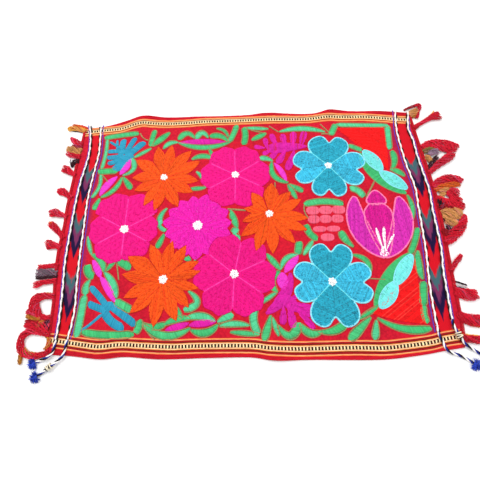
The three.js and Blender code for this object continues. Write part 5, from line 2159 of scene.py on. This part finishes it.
@dataclass
class EmbroideredMotifs:
    """The buds, the fans, the red corner patches, the basket, the aqua buds and the tulip."""

    leaves: EmbroideredLeaves
    finish: Material
    hearts: list[np.ndarray]

    def build(self) -> list[Needlework]:
        """Makes every motif.

        Returns:
            The needlework of each, for the traces on the underside.
        """
        return [self.buds(), self.fans_and_patches(), self.basket(), self.aqua_buds(), self.tulip()]

    def buds(self) -> Needlework:
        """Works the magenta buds and the blue sprays.

        Returns:
            The needlework, for the traces on the underside.
        """
        work = Needlework(41, keep_off=self.hearts)
        for colour, rows in BUDS.items():
            shape = LeafShape.BAR if colour == "BLUE" else LeafShape.LENS
            dye = Dye(Yarn[colour], Yarn.BLUE_DEEP if colour == "BLUE" else None, 0.15)
            for x0, y0, x1, y1, width, bend in rows:
                self.leaves.blade(work, bent_line(x0, y0, x1, y1, bend, 30), width, shape, dye, None)
        work.build("embroidered_buds", self.finish)
        return work

    def fans_and_patches(self) -> Needlework:
        """Works the two magenta fans and the two red patches.

        Returns:
            The needlework, for the traces on the underside.
        """
        work = Needlework(42, keep_off=self.hearts)
        for x0, y0, x1, y1, width, bend, shape, heading, main, second, share in FAN_BODIES:
            outline = self.blade_outline(bent_line(x0, y0, x1, y1, bend, 30), width, LeafShape(shape))
            dye = Dye(Yarn[main], Yarn[second] if second else None, share, 0.06)
            work.fill(outline, heading, dye, LEAF_RISE, 0.85, 9)
        for corners, bows, heading in PATCHES:
            sides = zip(corners, corners[1:] + corners[:1], bows)
            outline = np.vstack([bent_line(*start, *end, bow, 12)[:-1] for start, end, bow in sides])
            work.fill(outline, heading, Dye(Yarn.SCARLET, Yarn.SCARLET_PALE, 0.05, 0.06), LEAF_RISE, 0.85, 9)
        for x0, y0, x1, y1, width in FAN_STROKES:
            line = bent_line(x0, y0, x1, y1, 0.6, 30)
            outline = self.blade_outline(line, width, LeafShape.FAT_TIP)
            heading = math.degrees(math.atan2(y1 - y0, x1 - x0))
            work.fill(outline, heading, Dye(Yarn.FAN, Yarn.RED_STREAK, 0.06), LEAF_RISE, 0.85, 9)
        work.build("embroidered_fans", self.finish)
        return work

    @staticmethod
    def blade_outline(line: np.ndarray, width: float, shape: LeafShape) -> np.ndarray:
        """Works out the closed outline of a blade.

        Args:
            line: Its middle line from root to tip.
            width: Its full width.
            shape: How its width changes.

        Returns:
            The corners of the outline.
        """
        t = np.linspace(0.02, 0.98, 16)
        middle = at_shares(line, t)
        _, across = directions(middle)
        half = width / 2 * shape.width(t)[:, None]
        return np.vstack([middle + across * half, (middle - across * half)[::-1]])

    def closed(self, row: tuple[float, ...], shape: LeafShape) -> np.ndarray:
        """Works out a blade's outline and closes it on its first corner.

        Args:
            row: Root x and y, tip x and y, width, and how far the middle bends.
            shape: How its width changes.

        Returns:
            The corners of the outline, the first one again at the end.
        """
        x0, y0, x1, y1, width, bend = row
        outline = self.blade_outline(bent_line(x0, y0, x1, y1, bend, 40), width, shape)
        return np.vstack([outline, outline[:1]])

    def basket(self) -> Needlework:
        """Works the pink rows below their green cap.

        Returns:
            The needlework, for the traces on the underside.
        """
        work = Needlework(43)
        dye = Dye(Yarn.SALMON, uneven=0.08)
        turn = np.linspace(0, 2 * np.pi, 20, endpoint=False)
        oval = np.sign([np.cos(turn), np.sin(turn)]) * np.abs([np.cos(turn), np.sin(turn)]) ** 0.75
        for y, first, last, count, width, height in BASKET:
            for x in np.linspace(first, last, count):
                cushion = oval.T * (width / 2, height / 2) + (x, y)
                work.fill(cushion, 84, dye, LEAF_RISE, 0.85, 7, Yarn.ROSE, 0.3)
        cap = bent_line(66, 22, 110, 21, 3.5, 40)
        self.leaves.blade(work, cap, 7, LeafShape.BAR, Dye(Yarn.GREEN), Yarn.TAN, speck=Yarn.GREEN_DARK)
        work.trace(bent_line(66, 22, 69, 5, -2), Yarn.TAN, 1.8, LEAF_RISE)
        work.build("embroidered_basket", self.finish)
        return work

    def aqua_buds(self) -> Needlework:
        """Works the two aqua buds with their green undersides.

        Returns:
            The needlework, for the traces on the underside.
        """
        work = Needlework(44)
        for lobes, green, heading in AQUA_BUDS.values():
            side = self.closed(green, LeafShape.LENS)
            work.fill(side, heading + 90, Dye(Yarn.GREEN_DEEP, uneven=0.08), LEAF_RISE, 0.8, 6)
            work.trace(side[16:32], Yarn.TAN, 0.9, LEAF_RISE, 2.6)
            for lobe in lobes:
                edge = self.closed(lobe, LeafShape.LENS)
                work.fill(edge, heading + 78, Dye(Yarn.AQUA, uneven=0.04), FLOWER_RISE * 1.15, 0.8, 7,
                          Yarn.TEAL_DARK, 0.06)
                work.trace(edge, Yarn.PALE_CYAN, 1.3, FLOWER_RISE * 1.2, 2.6)
        work.build("embroidered_aqua_buds", self.finish)
        return work

    def tulip(self) -> Needlework:
        """Works the tulip, its pink outlines and its white stamens.

        Returns:
            The needlework, for the traces on the underside.
        """
        work = Needlework(45)
        for number, (x0, y0, x1, y1, width, bend, shape, heading, colour) in enumerate(TULIP):
            outline = self.closed((x0, y0, x1, y1, width, bend), LeafShape(shape))
            dye = Dye(Yarn[colour], uneven=0.09)
            rise = FLOWER_RISE * (1 + 0.04 * number)
            work.fill(outline, heading, dye, rise, 0.8, 7, Yarn.TULIP_DARK, 0.4)
            work.trace(outline, Yarn.ROSE, 2.2, rise * 1.1, 2.4)
        white = Dye(Yarn.WHITE, uneven=0.02)
        foot = self.closed((146, -43.5, 146, -31, 9, 0), LeafShape.FAT_ROOT)
        work.fill(foot, 90, white, FLOWER_RISE * 1.3, 0.8, 6)
        for x0, y0, x1, y1, width in (
            (146, -37, 142, -10, 3.6), (148, -37, 150.5, -9, 4.2), (149, -36, 160, -18, 3.2),
        ):
            line = bent_line(x0, y0, x1, y1, 0.5)
            self.leaves.blade(work, line, width, LeafShape.FAT_TIP, white, None, FLOWER_RISE * 1.3)
        work.build("embroidered_tulip", self.finish)
        return work


# Stripes of the two selvedges: distance of each thread from the ladder's middle, outwards, and its yarn
FAR_STRIPES = [
    (-6.0, "STRIPE"), (-5.2, "STRIPE_PALE"), (-4.4, "STRIPE"), (-3.6, "MAROON"), (-2.8, "STRIPE"),
    (-2.0, "CREAM"), (2.0, "CREAM"), (2.75, "MAROON"), (3.5, "STRIPE"), (4.3, "STRIPE_PALE"), (5.1, "STRIPE"),
]
NEAR_STRIPES = [
    (-6.9, "STRIPE"), (-6.2, "STRIPE_PALE"), (-5.4, "DEEP_RED"), (-4.6, "DEEP_RED"), (-3.8, "MAROON"),
    (-3.0, "STRIPE"), (-2.2, "CREAM"), (2.2, "CREAM"), (3.0, "STRIPE"), (3.8, "MAROON"),
    (4.6, "DEEP_RED"), (5.4, "DEEP_RED"), (6.2, "STRIPE_PALE"), (6.9, "STRIPE"),
]


@dataclass
class Selvedge:
    """The striped selvedge along one long edge, thread by thread, with its barred ladder."""

    side: str
    finish: Material
    seed: int
    thread: float = 0.82
    rise: float = 0.42
    bar_pitch: float = 3.3
    rim_threads: int = 7

    def build(self) -> Object:
        """Makes the selvedge.

        Returns:
            The selvedge.
        """
        far = self.side == "far"
        ladder = smooth_line(FAR_LADDER if far else NEAR_LADDER, 8)
        stripes = FAR_STRIPES if far else NEAR_STRIPES
        sign = 1.0 if far else -1.0
        work = Needlework(self.seed)
        edge_line = CLOTH.far if far else CLOTH.near
        x = np.linspace(-205.0, 206.0, 118)
        middle = CLOTH.along_x(ladder, x)
        edge = CLOTH.along_x(edge_line, x)
        room = (edge - middle) * sign - 0.45
        last = stripes[-1][0] + self.thread / 2
        count = self.rim_threads
        threads = [(np.full(len(x), offset), Yarn[yarn]) for offset, yarn in stripes]
        for number in range(count):
            share = (number + 0.5) / count
            yarn = Yarn.EDGE_RED if number % 3 else Yarn.CRIMSON
            threads.append((last + (room - last) * share, yarn))
        wide = np.full(len(threads), self.thread * 1.15)
        wide[len(stripes):] = (room.mean() - last) / count * 1.3
        for (offset, yarn), width in zip(threads, wide):
            self.thread_along(work, x, middle + sign * offset, yarn, width)
        self.ladder(work, ladder, far)
        return work.build(f"selvedge_{self.side}_threads", self.finish)

    def thread_along(self, work: Needlework, x: np.ndarray, y: np.ndarray, yarn: Yarn, width: float) -> None:
        """Lays one thread from end to end of the selvedge.

        Args:
            work: The needlework it joins.
            x: Its places from left to right.
            y: Its places from near to far.
            yarn: Its yarn.
            width: Its width.
        """
        keep = self.inside(x, y)
        x, y = x[keep], y[keep] + work.draw.normal(0, 0.06, int(keep.sum()))
        base = CLOTH_THICK - BED + CLOTH.lift(x, y)
        path = np.column_stack([x, y, base])[None]
        rise = (self.rise + BED) * work.draw.uniform(0.85, 1.12, len(x))
        wide = width * work.draw.uniform(0.92, 1.08, len(x))
        section = THREAD_SECTION.T
        profile = np.stack([wide[:, None] * section[0], rise[:, None] * section[1]], axis=-1)[None]
        tint = np.clip(yarn.rgb[None] * work.draw.normal(1, 0.09, (len(x), 1)), 0, 1)
        work.tubes.add(framed_rings(path, profile), tint[None])

    @staticmethod
    def inside(x: np.ndarray, y: np.ndarray) -> np.ndarray:
        """Says which places are on the cloth, clear of its short edges."""
        return (x > CLOTH.along_y(CLOTH.left, y) + 0.5) & (x < CLOTH.along_y(CLOTH.right, y) - 0.5)

    def ladder(self, work: Needlework, ladder: np.ndarray, far: bool) -> None:
        """Works the ladder's black bars and the cream ones between them.

        Args:
            work: The needlework they join.
            ladder: The ladder's middle line.
            far: Whether this is the far edge.
        """
        half = 1.4 if far else 1.6
        for shift, yarn, width in ((0.5, Yarn.CREAM, 1.9), (0.0, Yarn.BLACK, 1.75)):
            x = np.arange(-203.0 + shift * self.bar_pitch, 204.0, self.bar_pitch)
            y = CLOTH.along_x(ladder, x)
            keep = self.inside(x, y)
            x, y = x[keep], y[keep]
            lean = work.draw.uniform(-0.25, 0.25, len(x))
            starts, ends = np.column_stack([x - lean, y - half]), np.column_stack([x + lean, y + half])
            tint = np.clip(yarn.rgb[None] * work.draw.normal(1, 0.08, (len(x), 1)), 0, 1)
            work.lay(starts, ends, width, self.rise + (0.06 if yarn is Yarn.BLACK else 0), tint)


@dataclass
class PurpleLines:
    """The purple thread sewn beside each couched cord."""

    finish: Material
    gap: float = 2.35

    def build(self) -> Object:
        """Makes the four lines as one piece.

        Returns:
            The lines.
        """
        work = Needlework(61)
        for name, rows in COUCHED_CORDS.items():
            away = -1.0 if name in ("left_outer", "right_inner") else 1.0
            line = smooth_line(rows, 8) + np.array([self.gap * away, 0.0])
            work.trace(line, Yarn.VIOLET, 1.35, 0.55, 3.4)
        return work.build("purple_lines", self.finish)


def paint_underside(cloth: Object, works: list[Needlework]) -> None:
    """Colours the cloth's underside where the embroidery's yarns pass behind it.

    Args:
        cloth: The ground cloth.
        works: The needlework whose backs show.
    """
    count = len(cloth.data.vertices)
    places = np.empty(count * 3, np.float32)
    cloth.data.vertices.foreach_get("co", places)
    flat = places.reshape(-1, 3)[:, :2] / MM
    paint = np.zeros((count, 4), np.float32)
    below = np.zeros(count, bool)
    below[count // 2:] = True
    for work in works:
        for outline, colour in work.patches:
            inside = below & inside_any(flat, [outline])
            paint[inside, :3] = colour * 0.85
            paint[inside, 3] = 0.9
    layer = cloth.data.color_attributes.new(name="under_stitches", type="FLOAT_COLOR", domain="POINT")
    layer.data.foreach_set("color", paint.ravel())


# The photo's view: the camera's own right, up and back, where it stands in metres, and its lens
VIEW_RIGHT = (0.99897188, -0.01564687, -0.04254833)
VIEW_UP = (0.02970202, 0.9349483, 0.3535385)
VIEW_BACK = (0.03424872, -0.35443879, 0.9344518)
VIEW_AT = (0.004578, -0.152807, 0.354097)
VIEW_LENS = 25.5
VIEW_SENSOR = 36.0


@dataclass
class Studio:
    """A pale floor, soft lights and the photo's view."""

    floor_colour: tuple[float, float, float] = (0.93, 0.93, 0.93)

    def camera(self) -> None:
        """Sets the view that the photo has."""
        view = bpy.data.cameras.new("photo_view")
        view.lens = VIEW_LENS
        view.sensor_width = VIEW_SENSOR
        eye = bpy.data.objects.new("photo_view", view)
        bpy.context.scene.collection.objects.link(eye)
        turned = Matrix((VIEW_RIGHT, VIEW_UP, VIEW_BACK)).transposed().to_4x4()
        eye.matrix_world = Matrix.Translation(VIEW_AT) @ turned
        bpy.context.scene.camera = eye

    def build(self) -> None:
        """Makes the floor, the lights and the pale surroundings."""
        bpy.context.scene.view_settings.view_transform = "Standard"
        bpy.ops.mesh.primitive_plane_add(size=6.0, location=(0, 0, 0))
        floor = bpy.context.object
        floor.name = "studio_floor"
        floor.data.transform(Matrix.Translation((0, 0, -FLOOR_DROP * MM)))
        paint = bpy.data.materials.new("pale_floor")
        paint.use_nodes = True
        surface = paint.node_tree.nodes["Principled BSDF"]
        surface.inputs["Base Color"].default_value = (*self.floor_colour, 1)
        surface.inputs["Roughness"].default_value = 0.9
        surface.inputs["Specular IOR Level"].default_value = 0.1
        floor.data.materials.append(paint)
        key = self.light("key_light", (-0.55, 0.65, 1.3), 1.2, 18.0)
        fill = self.light("fill_light", (0.8, -0.5, 1.2), 1.4, 8.0)
        world = bpy.data.worlds.new("pale_room")
        world.use_nodes = True
        world.node_tree.nodes["Background"].inputs["Color"].default_value = (1, 1, 1, 1)
        world.node_tree.nodes["Background"].inputs["Strength"].default_value = 0.62
        bpy.context.scene.world = world

    @staticmethod
    def light(name: str, at: tuple[float, float, float], size: float, power: float) -> Object:
        """Hangs a square soft light that faces the mat.

        Args:
            name: Its name.
            at: Where it hangs, in metres.
            size: The length of its side.
            power: Its power in watts.

        Returns:
            The light.
        """
        lamp = bpy.data.lights.new(name, "AREA")
        lamp.shape = "SQUARE"
        lamp.size = size
        lamp.energy = power
        hung = bpy.data.objects.new(name, lamp)
        bpy.context.scene.collection.objects.link(hung)
        towards = Matrix.Translation(at).translation.normalized()
        hung.matrix_world = Matrix.Translation(at) @ towards.to_track_quat("Z", "Y").to_matrix().to_4x4()
        return hung


def tail_bodies(cords: TwistedCord, tuft: Material, knot: Material) -> None:
    """Makes the free cord ends with their tufts and knots, and logs the length of each end.

    Args:
        cords: The maker of the twisted cords.
        tuft: The finish of the tufts.
        knot: The finish of the knots.
    """
    for number, name in enumerate(CORD_TAILS):
        tail = cords.tail(name, number * 1.3)
        with_pieces = [EndTuft(name, tuft, 70 + number).build()]
        if name in KNOT_AT:
            with_pieces.append(CordKnot(name, knot, number * 0.9).build())
        path = smooth_line(CORD_TAILS[name]) * MM
        points = [tuple(float(value) for value in point) for point in path[::4]]
        length = float(lengths_along(np.array(points))[-1])
        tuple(points[0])
        log.info("cord end %s: %.1f mm", name, length / MM)


def write_sizes() -> None:
    """Brings the scene's placements up to date."""
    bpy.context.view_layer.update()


# The kinds of flower that are worked over each kind
FLOWER_ORDER = {
    Flower.ROUND: [Flower.DAHLIA], Flower.DAISY: [Flower.DAHLIA, Flower.ROUND],
    Flower.DAHLIA: [], Flower.HEART: [],
}


def kinds_outlines(
    flowers: list[EmbroideredFlower], outlines: list[list[np.ndarray]], kind: Flower,
) -> list[np.ndarray]:
    """Gathers the petal outlines of all flowers of one kind."""
    return [shape for flower, shapes in zip(flowers, outlines) if flower.kind is kind for shape in shapes]


def main() -> None:
    """Builds the scene."""
    logging.basicConfig(level=logging.INFO, format="%(message)s")
    studio = Studio()
    studio.camera()
    twist, weave, step = yarn_twist_group(), plain_weave_group(), step_group()
    cord_yarn = YarnFinish("twisted_cord_yarn", roughness=0.7, twist_pitch=0.9, relief=0.1).material(twist)
    fringe_yarn = YarnFinish("fringe_yarn", roughness=0.68, twist_pitch=1.5).material(twist)
    tuft_yarn = YarnFinish("tuft_yarn", roughness=0.6, twist_pitch=1.2).material(twist)
    knot_yarn = YarnFinish("knot_yarn", roughness=0.7, twist_pitch=1.2).material(twist)
    cords = TwistedCord(cord_yarn)
    tail_bodies(cords, tuft_yarn, knot_yarn)
    for number, name in enumerate(COUCHED_CORDS):
        cords.couched(name, number * 0.8)
    silk = YarnFinish("embroidery_yarn", roughness=0.55, twist_pitch=1.1, relief=0.08).material(twist)
    soft_white = YarnFinish("white_knots", roughness=0.6, twist_pitch=1.0, relief=0.08).material(twist)
    stripes = YarnFinish("selvedge_yarn", roughness=0.7, twist_pitch=1.3, relief=0.1).material(twist)
    flowers = [
        EmbroideredFlower(*row, seed=100 + number) for number, row in enumerate(FLOWERS)
    ]
    works = []
    on_top = [flower.outlines() for flower in flowers]
    for number, flower in enumerate(flowers):
        over = []
        for other in FLOWER_ORDER[flower.kind]:
            over += kinds_outlines(flowers, on_top, other)
        works.append(flower.build(f"flower_{number + 1}_{flower.kind.value}", silk, soft_white, over))
    leaves = EmbroideredLeaves([shape for shapes in on_top for shape in shapes])
    works.append(leaves.build(silk))
    works += EmbroideredMotifs(leaves, silk, kinds_outlines(flowers, on_top, Flower.HEART)).build()
    for number, side in enumerate(("far", "near")):
        Selvedge(side, stripes, 51 + number).build()
    PurpleLines(stripes).build()
    cloth = GroundCloth(GroundFinish().material(weave, step)).build()
    paint_underside(cloth, works)
    for seed, side in enumerate(("left", "right")):
        Fringe(side, fringe_yarn, 20 + seed).build()
    studio.build()
    write_sizes()


if __name__ == "__main__":
    main()
